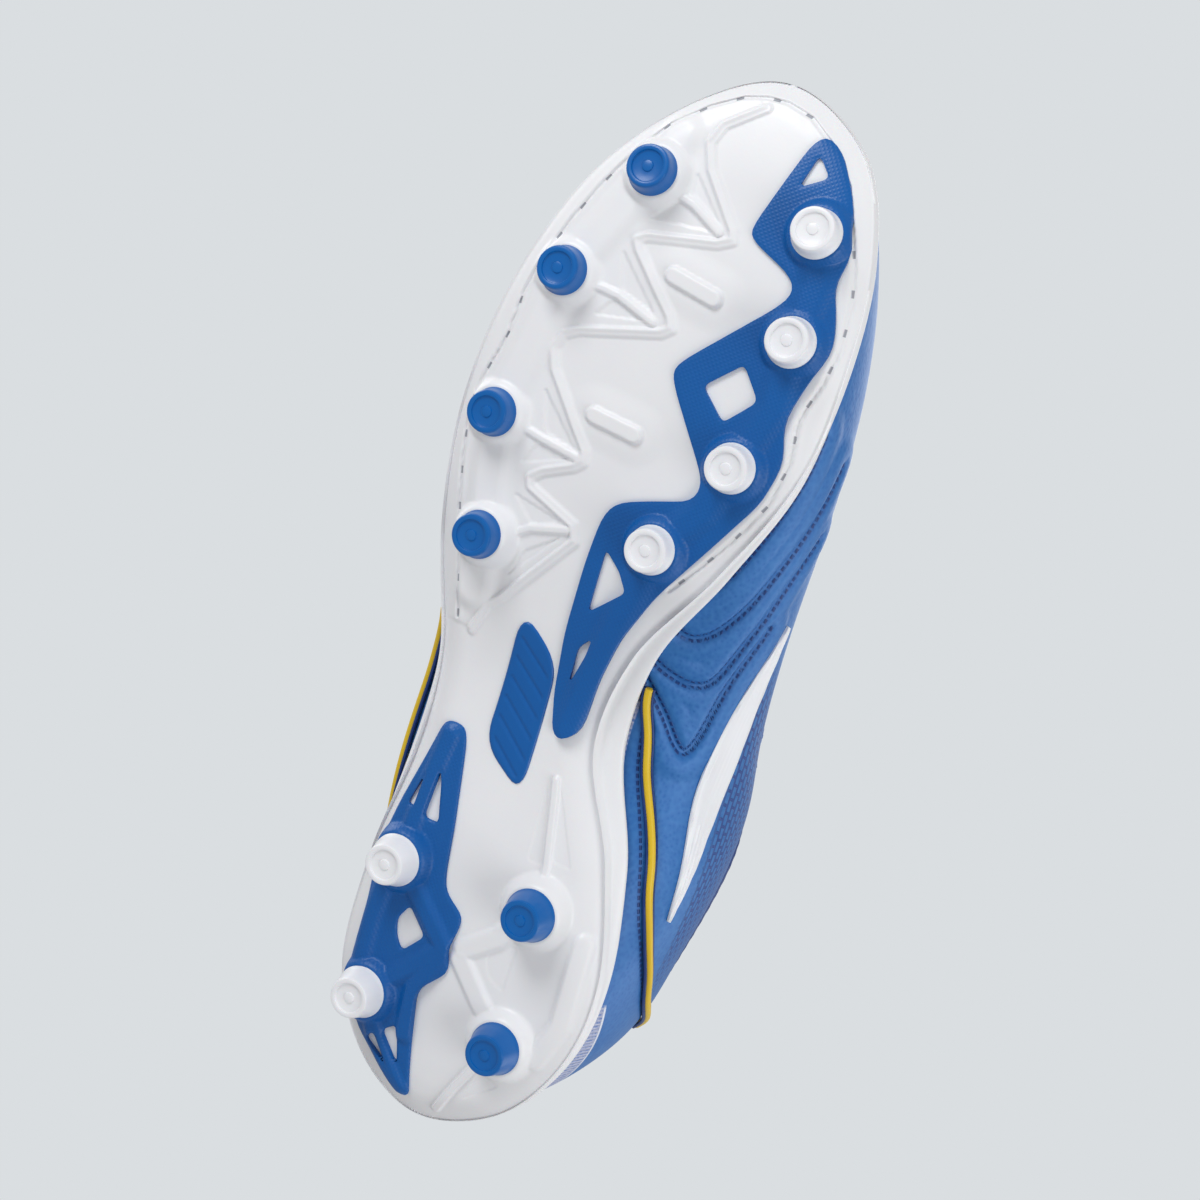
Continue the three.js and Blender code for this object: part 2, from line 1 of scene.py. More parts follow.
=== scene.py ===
"""Football boot: the moulded sole, the stitched upper and the lace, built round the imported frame."""
import math

import bmesh
import bpy
import numpy as np
from mathutils import Matrix, Vector


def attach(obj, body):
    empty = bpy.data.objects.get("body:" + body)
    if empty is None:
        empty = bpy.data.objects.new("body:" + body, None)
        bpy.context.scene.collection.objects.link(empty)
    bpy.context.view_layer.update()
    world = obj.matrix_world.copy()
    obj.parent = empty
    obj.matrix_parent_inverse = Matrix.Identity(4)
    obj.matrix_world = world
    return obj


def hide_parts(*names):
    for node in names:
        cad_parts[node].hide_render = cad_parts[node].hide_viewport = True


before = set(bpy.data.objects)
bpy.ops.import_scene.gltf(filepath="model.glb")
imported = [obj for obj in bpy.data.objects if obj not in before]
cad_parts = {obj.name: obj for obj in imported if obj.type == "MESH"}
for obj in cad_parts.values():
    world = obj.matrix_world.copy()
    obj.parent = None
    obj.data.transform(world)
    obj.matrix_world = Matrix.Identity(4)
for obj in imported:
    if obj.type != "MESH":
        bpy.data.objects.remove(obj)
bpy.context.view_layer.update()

MM = 0.001
BODY = "boot"

# ---------------------------------------------------------------- the boot's shape, in sole millimetres
ORIGIN = (141.7, -3.9)         # sole-frame point over the frame's origin
OVERLAY = 0.7                   # overlays lie this far above the skin
SKIN = 1.3
WALL = 1.7                      # thickness of the sole's side wall
FEATHER_LIFT = 5.8
WALL_HEEL, WALL_FORE = 8.2, 7.2  # height of the side wall over the sole's surface
CURL, CURL_REACH = 3.2, 9       # the plate rolls up by this near its edge, over this width
LINING_DEPTH, STIFFENER_DEPTH = 4.1, 2.4
INNER_SHEET = 1                 # thickness of linings and stiffeners

SOLE_HEIGHTS = np.array([
    [-12, 16], [0, 14.2], [10, 12.2], [30, 11], [60, 11], [80, 12.5], [100, 15], [120, 15.4], [140, 12.6],
    [160, 10], [180, 8.8], [200, 8.4], [220, 8.7], [240, 9.8], [260, 12.2], [275, 15.4], [290, 20]])
# Upper: outline point, opening point, then the Bezier handles (bulge, rise) and (bulge, drop).
UPPER = np.array([
    [-1, -4, 3, -3, 85, 4, 22, 4, 24], [6, -21.5, 11, -18, 83.5, 3, 22, 5, 22],
    [28, -35.5, 30, -28, 77, 4, 22, 8, 22], [60, -37.5, 58, -34, 68.5, 8, 18, 6, 18],
    [92, -36, 84, -33, 77, 20, 12, 12, 22], [122, -38, 106, -20, 91, 21, 13, 24, 16],
    [155, -46, 132, -13, 84, 15, 17, 31, 9], [188, -49.5, 160, -9, 74.5, 10, 19, 37, 6],
    [222, -45.5, 184, -6, 66, 6, 22, 36, 4], [254, -33.5, 195, -2, 62.4, 3, 25, 36, 3],
    [277, -14, 198.5, 1.5, 61, 1, 27, 44, 3], [285, 5, 199, 4, 60.8, 1, 27, 46, 3],
    [274, 26.5, 198, 7, 61, 1, 26, 42, 3], [252, 37.5, 193, 10.5, 63, 3, 24, 34, 3],
    [226, 41, 180, 13, 67.5, 7, 21, 32, 5], [198, 39.5, 160, 16, 75, 11, 18, 29, 9],
    [168, 28, 138, 19.5, 83, 22, 13, 27, 13], [140, 13.5, 116, 25, 90.5, 37, 9, 22, 18],
    [112, 10.5, 98, 35.5, 86.5, 41, 6, 13, 22], [84, 24, 82, 41, 76.5, 27, 10, 5, 22],
    [56, 31.5, 56, 38.5, 69.5, 13, 17, 4, 18], [31, 29, 30, 30, 77, 8, 21, 7, 22],
    [10, 16.5, 11, 14, 83.5, 6, 22, 6, 22]])
N = len(UPPER)
MIRROR = 22.5                   # medial and lateral stations that face each other add up to this
TOE_U = 10.9
STATION = 25.0                  # rough millimetres per station, and per whole meridian
MERIDIAN = 88.0
# Where the quarter meets the rear panel: station, share of the meridian.
SEAM_MEDIAL = np.array([[17.1, 0], [17.6, .1], [18.4, .14], [19.2, .15], [19.7, .22], [20.4, .42],
                        [21.2, .93]])
SEAM_LATERAL = np.array([[1.4, .93], [2.2, .44], [2.9, .24], [3.5, .17], [4.3, .15], [5, .1], [5.4, 0]])


def spline(rows, t, closed=True):
    """Uniform Catmull-Rom through the rows, at each parameter in t."""
    t = np.asarray(t, float)
    i = np.floor(t).astype(int)
    f = (t - i)[..., None]
    n = len(rows)
    pick = (lambda k: rows[k % n]) if closed else (lambda k: rows[np.clip(k, 0, n - 1)])
    a, b, c, d = pick(i - 1), pick(i), pick(i + 1), pick(i + 2)
    return .5 * (2 * b + (c - a) * f + (2 * a - 5 * b + 4 * c - d) * f**2 + (3 * b - 3 * c + d - a) * f**3)


def sole_z(x):
    """Height of the sole's underside: Hermite steps between the given heights."""
    xs, zs = SOLE_HEIGHTS.T
    slopes = np.empty(len(xs))
    slopes[1:-1] = (zs[2:] - zs[:-2]) / (xs[2:] - xs[:-2])
    slopes[0] = (zs[1] - zs[0]) / (xs[1] - xs[0])
    slopes[-1] = (zs[-1] - zs[-2]) / (xs[-1] - xs[-2])
    x = np.asarray(x, float)
    i = np.clip(np.searchsorted(xs, x) - 1, 0, len(xs) - 2)
    h = xs[i + 1] - xs[i]
    f = np.clip((x - xs[i]) / h, 0, 1)
    return ((1 + 2 * f) * (1 - f)**2 * zs[i] + f * (1 - f)**2 * h * slopes[i]
            + f * f * (3 - 2 * f) * zs[i + 1] + f * f * (f - 1) * h * slopes[i + 1])


def upper_point(u, v):
    """Outer face of the upper at station u and share v of the meridian."""
    u, v = np.broadcast_arrays(np.asarray(u, float), np.asarray(v, float))
    ox, oy, tx, ty, tz, b1, h1, b2, h2 = np.moveaxis(spline(UPPER, u), -1, 0)
    ex = np.where(ox > 225, np.minimum(1, (ox - 225) / 62), -np.clip((34 - ox) / 35, 0, 1))
    ey = np.sign(oy - 1) * np.sqrt(np.maximum(0, 1 - ex * ex))
    z0 = sole_z(ox) + FEATHER_LIFT
    points = (np.stack([ox, oy, z0], -1), np.stack([ox + ex * b1, oy + ey * b1, z0 + h1], -1),
              np.stack([tx + ex * b2, ty + ey * b2, tz - h2], -1), np.stack([tx, ty, tz], -1))
    weights = ((1 - v)**3, 3 * v * (1 - v)**2, 3 * v * v * (1 - v), v**3)
    return sum(w[..., None] * p for w, p in zip(weights, points))


def upper_normal(u, v):
    """Unit normal of the upper's face, outward."""
    du = upper_point(u + .08, v) - upper_point(np.asarray(u) - .08, v)
    v = np.asarray(v)
    dv = upper_point(u, np.minimum(1, v + .02)) - upper_point(u, np.maximum(0, v - .02))
    n = np.cross(du, dv)
    return n / np.linalg.norm(n, axis=-1, keepdims=True)


def on_upper(u, v, lift=0.0):
    """A point of the upper, moved out along its normal by a lift in millimetres."""
    return upper_point(u, v) + upper_normal(u, v) * np.asarray(lift)[..., None]


def wall_share(u):
    """Share of the meridian that the sole's side wall covers, with the wall's gentle waves."""
    u = np.asarray(u, float)
    x = spline(UPPER, u)[..., 0]
    height = WALL_FORE + (WALL_HEEL - WALL_FORE) * np.clip((115 - x) / 50, 0, 1)
    dip = 1.3 * np.exp(-((u - 14.6) / .45)**2) + 1.2 * np.exp(-((u - 7.6) / .5)**2)
    shares = np.linspace(0, .3, 61)
    z = upper_point(u[..., None], shares)[..., 2]
    goal = (sole_z(x) + height - dip)[..., None]
    i = np.maximum(1, np.argmax(z >= goal, axis=-1))[..., None]
    before, after = np.take_along_axis(z, i - 1, -1), np.take_along_axis(z, i, -1)
    return (shares[i - 1] + (goal - before) / (after - before) * (shares[1] - shares[0]))[..., 0]


def smooth(x, low, high):
    """0 below low, 1 above high, and an eased step between them."""
    t = np.clip((np.asarray(x, float) - low) / (high - low), 0, 1)
    return t * t * (3 - 2 * t)


def segment_distance(p, a, b):
    """Distance from points p (..., 2) to the segment a-b, and where along it, 0 to 1."""
    ab = b - a
    t = np.clip(((p - a) @ ab) / (ab @ ab), 0, 1)
    return np.linalg.norm(p - a - t[..., None] * ab, axis=-1), t


def line_distance(p, points):
    """Distance from points p to the nearest part of an open polyline."""
    points = np.asarray(points, float)
    return np.min([segment_distance(p, a, b)[0] for a, b in zip(points[:-1], points[1:])], axis=0)


def polygon_distance(p, points, fillet=0.0):
    """Signed distance to a closed outline, negative inside, with its corners filleted."""
    points = filleted(points, fillet) if fillet else np.asarray(points, float)
    ring = list(zip(points, np.roll(points, -1, axis=0)))
    d = np.min([segment_distance(p, a, b)[0] for a, b in ring], axis=0)
    inside = np.zeros(p.shape[:-1], bool)
    for a, b in ring:
        crosses = (a[1] > p[..., 1]) != (b[1] > p[..., 1])
        with np.errstate(divide="ignore", invalid="ignore"):
            x = (b[0] - a[0]) * (p[..., 1] - a[1]) / (b[1] - a[1]) + a[0]
        inside ^= crosses & (p[..., 0] < x)
    return np.where(inside, -d, d)


def filleted(points, reach, steps=4):
    """The closed outline with each corner turned into a short curve."""
    points = np.asarray(points, float)
    out = []
    for a, p, b in zip(np.roll(points, 1, axis=0), points, np.roll(points, -1, axis=0)):
        la, lb = np.linalg.norm(a - p), np.linalg.norm(b - p)
        q = p + (a - p) * min(reach, .48 * la) / la
        r = p + (b - p) * min(reach, .48 * lb) / lb
        for t in np.linspace(0, 1, steps):
            out.append(q * (1 - t)**2 + p * 2 * t * (1 - t) + r * t * t)
    return np.array(out)


# ---------------------------------------------------------------- mesh helpers
def make_mesh(name, points, faces, mats, smooth_angle=40, body=BODY):
    """A mesh object from sole-frame millimetres, riding on a body."""
    mesh = bpy.data.meshes.new(name)
    p = (np.asarray(points, float).reshape(-1, 3) - (ORIGIN[0], ORIGIN[1], 0)) * MM
    mesh.from_pydata(p.tolist(), [], [tuple(int(i) for i in f) for f in faces])
    mesh.validate()
    obj = bpy.data.objects.new(name, mesh)
    bpy.context.scene.collection.objects.link(obj)
    for m in mats if isinstance(mats, (list, tuple)) else [mats]:
        mesh.materials.append(m)
    mesh.shade_smooth()
    if smooth_angle:
        mesh.set_sharp_from_angle(angle=math.radians(smooth_angle))
    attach(obj, body)
    return obj


def weld(obj, distance=0.00002):
    """Joins vertices that coincide and turns every face outward."""
    bm = bmesh.new()
    bm.from_mesh(obj.data)
    bmesh.ops.remove_doubles(bm, verts=bm.verts, dist=distance)
    bmesh.ops.dissolve_degenerate(bm, edges=bm.edges, dist=distance / 4)
    bmesh.ops.recalc_face_normals(bm, faces=bm.faces)
    bm.to_mesh(obj.data)
    bm.free()
    return obj


def grid_faces(rows, cols, offset=0, wrap=False, flip=False):
    """The quads of a grid of points, wrapped round on its rows where asked."""
    faces = []
    for i in range(rows if wrap else rows - 1):
        for j in range(cols - 1):
            a, b = i * cols + j, ((i + 1) % rows) * cols + j
            q = (a, b, b + 1, a + 1)
            faces.append(tuple(k + offset for k in (q[::-1] if flip else q)))
    return faces


def mark(obj, name, *columns):
    """Stores up to three numbers per vertex, which a material reads as a vector."""
    data = np.zeros((len(obj.data.vertices), 3))
    for i, column in enumerate(columns):
        data[:, i] = np.ravel(column)
    attribute = obj.data.attributes.new(name, "FLOAT_VECTOR", "POINT")
    attribute.data.foreach_set("vector", data.ravel())


def sheet_mesh(name, outer, inner, mats, body=BODY, wrap=False, marks=None):
    """A closed sheet between two grids of points of the same shape."""
    rows, cols = outer.shape[:2]
    n = rows * cols
    faces = grid_faces(rows, cols, 0, wrap) + grid_faces(rows, cols, n, wrap, True)
    last = rows if wrap else rows - 1
    for i in range(last):
        for j in (0, cols - 1):
            a, b = i * cols + j, ((i + 1) % rows) * cols + j
            faces.append((a, a + n, b + n, b) if j == 0 else (a, b, b + n, a + n))
    if not wrap:
        for j in range(cols - 1):
            for i in (0, rows - 1):
                a, b = i * cols + j, i * cols + j + 1
                faces.append((a, b, b + n, a + n) if i == 0 else (a, a + n, b + n, b))
    points = np.concatenate([outer.reshape(-1, 3), inner.reshape(-1, 3)])
    obj = make_mesh(name, points, faces, mats, 0, body)
    for key, columns in (marks or {}).items():
        mark(obj, key, *[np.concatenate([c.ravel(), c.ravel()]) for c in columns])
    return weld(obj)


def tube_mesh(name, path, radii, mats, sides=12, flat=1.0, body=BODY, normals=None, closed=False):
    """A tube along a path; `flat` thins it along the given normals."""
    path = np.asarray(path, float)
    n = len(path)
    tangent = np.gradient(path, axis=0)
    if closed:
        tangent = np.roll(path, -1, 0) - np.roll(path, 1, 0)
    tangent /= np.linalg.norm(tangent, axis=1, keepdims=True)
    up = np.tile([0, 0, 1.], (n, 1)) if normals is None else np.asarray(normals)
    side = np.cross(up, tangent)
    side /= np.linalg.norm(side, axis=1, keepdims=True)
    up = np.cross(tangent, side)
    angles = np.linspace(0, 2 * np.pi, sides, endpoint=False)
    radii = np.broadcast_to(np.asarray(radii, float), (n,))[:, None, None]
    cosine, sine = np.cos(angles)[None, :, None], np.sin(angles)[None, :, None]
    ring = cosine * side[:, None] + sine * up[:, None] * flat
    points = path[:, None] + ring * radii
    faces = []
    for i in range(n if closed else n - 1):
        for j in range(sides):
            a, b = i * sides + j, ((i + 1) % n) * sides + j
            c, d = ((i + 1) % n) * sides + (j + 1) % sides, i * sides + (j + 1) % sides
            faces.append((a, b, c, d))
    if not closed:
        faces += [tuple(range(sides)), tuple(range(n * sides - 1, (n - 1) * sides - 1, -1))]
    return weld(make_mesh(name, points, faces, mats, 0, body))


def finished(obj, slot, *nodes, angle=45):
    """Smooths a piece's shading, sharp beyond the angle, and hides the frame nodes it stands for. The slot is
    not used.
    """
    obj.data.shade_smooth()
    obj.data.set_sharp_from_angle(angle=math.radians(angle))
    if nodes:
        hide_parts(*nodes)
    return obj


def along_line(p, points):
    """Millimetres along the nearest point of a polyline, and the distance to it, in 2-D or 3-D."""
    points = np.asarray(points, float)
    best = np.full(p.shape[:-1], 1e9)
    along = np.zeros(p.shape[:-1])
    start = 0.0
    for a, b in zip(points[:-1], points[1:]):
        d, t = segment_distance(p, a, b)
        length = float(np.linalg.norm(b - a))
        near = d < best
        best = np.where(near, d, best)
        along = np.where(near, start + t * length, along)
        start += length
    return along, best


# ---------------------------------------------------------------- materials
def rgb(code):
    """A linear colour from an sRGB code."""
    parts = [int(code[i:i + 2], 16) / 255 for i in (1, 3, 5)]
    return tuple(c / 12.92 if c <= .04045 else ((c + .055) / 1.055)**2.4 for c in parts) + (1.0,)


def new_material(name, **values):
    """A material whose Principled shader has these values on its own sockets."""
    m = bpy.data.materials.new(name)
    m.use_nodes = True
    for key, value in values.items():
        m.node_tree.nodes["Principled BSDF"].inputs[key.replace("_", " ")].default_value = value
    return m


def node(m, kind, inputs, out=0, **settings):
    """Adds a node with its settings, and links or fills its inputs. Returns one output socket."""
    made = m.node_tree.nodes.new("ShaderNode" + kind)
    for key, value in settings.items():
        setattr(made, key, value)
    for key, value in inputs.items():
        if isinstance(value, bpy.types.NodeSocket):
            m.node_tree.links.new(value, made.inputs[key])
        else:
            made.inputs[key].default_value = value
    return made.outputs[out]


def feed(m, **sockets):
    """Links sockets to the Principled shader's inputs."""
    for key, socket in sockets.items():
        m.node_tree.links.new(socket, m.node_tree.nodes["Principled BSDF"].inputs[key.replace("_", " ")])


def polyurethane(name, code, shade, roughness, weave=False):
    """Injection-moulded polyurethane: an even satin skin, faint clouding and a fine mould grain.

    The grain is 0.9 mm, coarser than the real one, so that it shows."""
    m = new_material(name, IOR=1.42, Coat_Weight=.04, Coat_Roughness=.25, Subsurface_Weight=.05,
                     Subsurface_Scale=.003)
    place = node(m, "TexCoord", {}, out="Object")
    cloud = node(m, "TexNoise", {"Vector": place, "Scale": 38.0, "Detail": 4.0})
    grain = node(m, "TexNoise", {"Vector": place, "Scale": 1100.0, "Detail": 2.0})
    tone = node(m, "Mix", {0: cloud, 6: rgb(code), 7: rgb(shade)}, out=2, data_type="RGBA")
    gloss = node(m, "MapRange", {"Value": cloud, "To Min": roughness - .08, "To Max": roughness + .1})
    skin = node(m, "Bump", {"Height": grain, "Distance": .00003, "Strength": .5})
    if weave:
        # Moulded weave: two crossing sets of ridges 1 mm apart.
        turned = node(m, "Mapping", {"Vector": place, "Rotation": (0, 0, .65)})
        warp = node(m, "TexWave", {"Vector": turned, "Scale": 320.0}, out=1, bands_direction="X")
        weft = node(m, "TexWave", {"Vector": turned, "Scale": 320.0}, out=1, bands_direction="Y")
        check = node(m, "Math", {0: warp, 1: weft}, operation="MULTIPLY")
        skin = node(m, "Bump", {"Height": check, "Distance": .00007, "Strength": .7, "Normal": skin})
    feed(m, Base_Color=tone, Roughness=gloss, Normal=skin)
    return m


def plate_material():
    """White moulded polyurethane with a dark thread that shows in the stitched groove round its edge."""
    m = polyurethane("moulded_white_polyurethane", "#F1F2F4", "#E8E9ED", .36)
    groove = node(m, "Attribute", {}, out="Vector", attribute_name="groove")
    along = node(m, "SeparateXYZ", {0: groove}, out=0)
    away = node(m, "SeparateXYZ", {0: groove}, out=1)
    # One short notch each 9.5 mm.
    step = node(m, "Math", {0: along, 1: 9.5}, operation="DIVIDE")
    part = node(m, "Math", {0: step}, operation="FRACT")
    stitch = node(m, "Math", {0: part, 1: .2}, operation="LESS_THAN")
    near = node(m, "MapRange", {"Value": away, "From Min": .25, "From Max": .45, "To Min": .7, "To Max": 0.0})
    share = node(m, "Math", {0: stitch, 1: near}, operation="MULTIPLY")
    tone = m.node_tree.nodes["Principled BSDF"].inputs["Base Color"].links[0].from_socket
    tone = node(m, "Mix", {0: share, 6: tone, 7: rgb("#6B7080")}, out=2, data_type="RGBA")
    feed(m, Base_Color=tone)
    return m


WHITE_TPU = plate_material()
WHITE_STUD = polyurethane("moulded_white_stud_polyurethane", "#F3F4F7", "#E9EBF0", .32)
BLUE_STUD = polyurethane("moulded_blue_stud_polyurethane", "#0066B4", "#005AA6", .3)
BLUE_TPU = polyurethane("moulded_blue_polyurethane", "#005FAC", "#00529B", .42, weave=True)
BADGE_TPU = polyurethane("moulded_blue_badge_polyurethane", "#0060AE", "#00549D", .36)

# ---------------------------------------------------------------- sole
LATERAL_STUDS = {"front": (258, -19, 2.9, 10), "second": (227.6, -33, .7, 5),
                 "third": (187.5, -39.5, 0, 0), "rear": (156.3, -33.4, 0, 0)}
MEDIAL_STUDS = {"front": (255.8, 26.1, 2.9, 10), "second": (229.1, 29.4, .7, 5),
                "third": (195.1, 25.4, 0, 0), "rear": (169, 12.4, 0, 0)}
HEEL_STUDS = {"lateral_front": (65, -29.2, 0, 0), "lateral_rear": (26.4, -27.4, 0, 0),
              "medial_front": (67, 11.7, 0, 0), "medial_rear": (29, 14, 0, 0)}
FORE_HEIGHT, FORE_BASE = 4.6, 6.2
HEEL_HEIGHT, HEEL_BASE = 6.6, 7.0
ZIGZAG = [(130, -31), (138, -28), (141, -25), (163, -9), (167, -10.5), (172.5, -25), (174.5, -25.8),
          (177, -23), (181, -15), (183, -13), (186, -13.5), (203, -28), (208, -30), (212, -28.5), (214, -25),
          (220, -4), (222, -1.5), (225, -3), (238, -16.5), (240, -17.8), (241.5, -15.5), (245, 2.3),
          (247, 6), (249.5, 5.2), (262, -5.8), (268, -8.6), (273, -7), (280, 1.5)]
LATERAL_BORDER = [(286, -6), (275, -21), (252, -38), (222, -48), (188, -52), (155, -48), (130, -40)]
GROOVE = [(132, -36), (141, -37.7), (161, -43.2), (172.7, -46), (181, -47.5), (188, -48), (197, -46.4),
          (203, -44.4), (208, -43.4), (219, -43), (226, -41.4), (239, -37.3), (251, -32), (262, -26.2),
          (269.5, -20.5), (276.4, -13.2), (281, -5.5), (282.5, 0), (282.7, 5.5), (281, 12.7), (276.4, 20),
          (268, 28.2), (258, 33.2), (249, 37.2), (240, 39.6), (230, 40.4), (221, 39.2), (215.5, 37.7),
          (211, 36.9), (200, 38), (189, 36), (178, 30.5), (169, 25), (160, 18.6)]
POCKETS = [
    [(147.5, -25.2), (156, -22), (163, -13)], [(163, -22), (169.5, -29.5), (166.5, -14)],
    [(177, -30), (184, -26.5), (183, -16)], [(187, -25.5), (198, -29.5), (185, -16)],
    [(219, -23), (225, -18.5), (222, -7.5)], [(227, -17.5), (237, -21), (224, -7)],
    [(246, -17), (252.5, -11), (247.5, 0)], [(255, -8.5), (260.5, -9.3), (249.5, 1.5)],
    [(42.5, 10), (45, 4.5), (49, 2.7), (54, 3), (56, 10)], [(78.5, 4.5), (99, 2.5), (79, 9.5)],
    [(81, 10.9), (99.4, 6.4), (80.7, 16.8)], [(9, 8), (19.5, 10.5), (17.5, 17)]]
RIBS = [[(157, -29), (162, -22), (165, -12)], [(186.5, -34), (185, -26), (183.5, -15)],
        [(226.5, -28), (225.6, -18), (222, -7)], [(254, -13.5), (252.5, -7), (248, 1.5)],
        [(2, 1), (12, 5.2), (29, 13)], [(67, 11), (79.5, 10.2), (101, 4.4)]]
HEEL_RIBS = [[(29, 14), (38, 4), (46, -4)], [(49, -4), (56, 4), (67, 11.7)], [(29, 24), (41, 28), (64, 27)]]
BARS = [[(195.4, -14), (194.2, -2)], [(234.6, -5.5), (232.4, 6.5)]]


def mound(p, stud, height, base):
    """How far the mound under a stud stands proud of the sole at plan points p."""
    x, y, z, tilt = stud
    lean = math.radians(tilt)
    cx = x - height * math.sin(lean)
    away = np.hypot(p[..., 0] - cx, p[..., 1] - y)
    top = z + height * math.cos(lean) + (p[..., 0] - cx) * math.tan(lean) + .25
    return np.maximum(0, sole_z(p[..., 0]) - top) * (1 - smooth(away, base + .3, base + 4.2))


def soft_max(a, b, k=.5):
    """The larger of two heights, blended where they are within about k of each other."""
    h = np.clip(.5 + .5 * (a - b) / k, 0, 1)
    return b * (1 - h) + a * h + k * h * (1 - h)


def plate_relief(p):
    """Millimetres that the white plate stands proud of its plain surface at plan points p."""
    area = ZIGZAG + LATERAL_BORDER
    side = smooth(-polygon_distance(p, area), -.4, 1)
    h = .55 * side
    h = h + .95 * (1 - smooth(line_distance(p, ZIGZAG), .75, 1.7))
    ridge = [(268, -17), (258, -19.5), (227.6, -33), (187.5, -39.5), (156.3, -34), (141, -33)]
    h = soft_max(h, 2.1 * (1 - smooth(line_distance(p, ridge), 2.5, 8.5)), .6)
    for stud in LATERAL_STUDS.values():
        h = soft_max(h, mound(p, stud, FORE_HEIGHT, FORE_BASE))
    for name in ("medial_front", "medial_rear"):
        h = soft_max(h, mound(p, HEEL_STUDS[name], HEEL_HEIGHT, HEEL_BASE))
    for points in POCKETS:
        k = 1 - smooth(polygon_distance(p, points, 1.2), -.65, .1)
        h = h * (1 - k) - 1.05 * k
    for width, ribs in ((1.0, RIBS), (2.6, HEEL_RIBS)):
        for points in ribs:
            h = soft_max(h, 1.35 * (1 - smooth(line_distance(p, points), width * .7, width * 1.6)), .25)
    for points in BARS:
        d = line_distance(p, points)
        h = soft_max(h, 1.5 * (1 - smooth(d, 1.7, 2.7)), .1) + .6 * (1 - smooth(d, 3, 9))
    d = line_distance(p, GROOVE)
    return h + .25 * (1 - smooth(d, .6, 2.4)) - .75 * (1 - smooth(d, .25, .62))


def stations_at(x, low, high):
    """Upper stations between low and high where the feather edge passes each x."""
    table = np.linspace(low, high, 4000)
    xs = rim_point(table)[:, 0]
    order = np.argsort(xs)
    return np.interp(x, xs[order], table[order])


def rim_point(u):
    """Foot of the sole's side wall."""
    p = on_upper(u, np.zeros_like(u), np.full(np.shape(u), OVERLAY + WALL))
    p[..., 2] -= 2.6
    return p


def edge_curl(p, edge):
    """Height by which the plate rolls up near its edge."""
    near = np.full(p.shape[:-1], 1e9)
    for e in edge[::2]:
        near = np.minimum(near, np.hypot(p[..., 0] - e[0], p[..., 1] - e[1]))
    return CURL * np.maximum(0, 1 - near / CURL_REACH)**2


rows, cols = ((720, 190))
table = np.linspace(-.35, TOE_U, 6000)
table_points = rim_point(table)
heel_u, toe_u = table[np.argmin(table_points[:, 0])], TOE_U
table = np.linspace(heel_u, toe_u, 6000)
run = np.concatenate([[0], np.cumsum(np.linalg.norm(np.diff(rim_point(table), axis=0), axis=1))])
u_lateral = np.interp(np.linspace(0, run[-1], rows), run, table)
x_lateral = rim_point(u_lateral)[:, 0]
u_medial = stations_at(x_lateral, toe_u, heel_u + N)
u_medial[0], u_medial[-1] = heel_u + N, toe_u
lateral_edge, medial_edge = rim_point(u_lateral), rim_point(u_medial)
share = np.linspace(0, 1, cols)[None, :, None]
bottom = lateral_edge[:, None] * (1 - share) + medial_edge[:, None] * share
plan = bottom[..., :2]
ring_u = np.concatenate([u_lateral[1:], u_medial[-2::-1]])
ring_edge = rim_point(ring_u)
curl = edge_curl(plan, ring_edge)
relief = plate_relief(plan)
edge_share = np.minimum(1, curl / CURL)
bottom[..., 2] = sole_z(plan[..., 0]) + curl - relief * (1 - edge_share**2)
bottom[:, 0] = lateral_edge
bottom[:, -1] = medial_edge

top_share = wall_share(ring_u)
wall_rows = []
for part, lift in ((.12, 0), (.3, .1), (.5, .18), (.7, .15), (.86, 0), (.95, -.25), (1, -.8)):
    wall_rows.append(on_upper(ring_u, top_share * part, OVERLAY + WALL + lift))
inner_lip = on_upper(ring_u, top_share, OVERLAY + .15)
inner_foot = on_upper(ring_u, top_share * 0, OVERLAY + .15)
wall = np.stack([ring_edge] + wall_rows + [inner_lip, inner_foot], axis=1)
count = rows * cols
points = np.concatenate([bottom.reshape(-1, 3), wall.reshape(-1, 3)])
faces = grid_faces(rows, cols) + grid_faces(len(ring_u), wall.shape[1], count, wrap=True, flip=True)
plate = make_mesh("sole_plate", points, faces, WHITE_TPU, 0)
groove_along, groove_away = along_line(plan, GROOVE)
blank = np.full(wall.shape[:2], 9.0)
mark(plate, "groove", np.concatenate([groove_along.ravel(), blank.ravel()]),
     np.concatenate([groove_away.ravel(), blank.ravel()]))
weld(plate, .00003)
finished(plate, "white_tpu", "outsole_plate", angle=88)


# ---------------------------------------------------------------- blue inserts, badge and studs
FORE_INSERT = [(111.6, 1.8), (114, -1.2), (122.5, -3.6), (140, -5), (160, -4.6), (172, -3.7),
               (176.6, -1), (179.5, 6), (183.4, 17.2), (187, 19.2), (191, 17.6), (208.5, 4.4), (212.6, 2.3),
               (216, 4.2), (235.5, 22.6), (240, 25.2), (243.6, 22.6), (248.8, 10.6), (251.4, 9.4), (275, 16),
               (278, 18.8), (274.6, 24.2), (264.5, 31), (252, 35.4), (244.5, 34), (238, 37), (229.5, 39.2),
               (221, 36.2), (210, 33.6), (200, 36.8), (189, 34.4), (173, 25.3), (157, 15.8), (143.6, 10.2),
               (130, 7.3), (115, 6.3)]
FORE_WINDOWS = [[(264, 16.8), (273, 18.8), (268.3, 23.4)],
                [(211.6, 11), (219.8, 19.4), (212.3, 25.8), (204.6, 18.8)],
                [(147, -.4), (164.4, -.2), (160, 5), (155.8, 8.7)],
                [(126, -.3), (137, -.4), (141, 3), (136, 2.6)]]
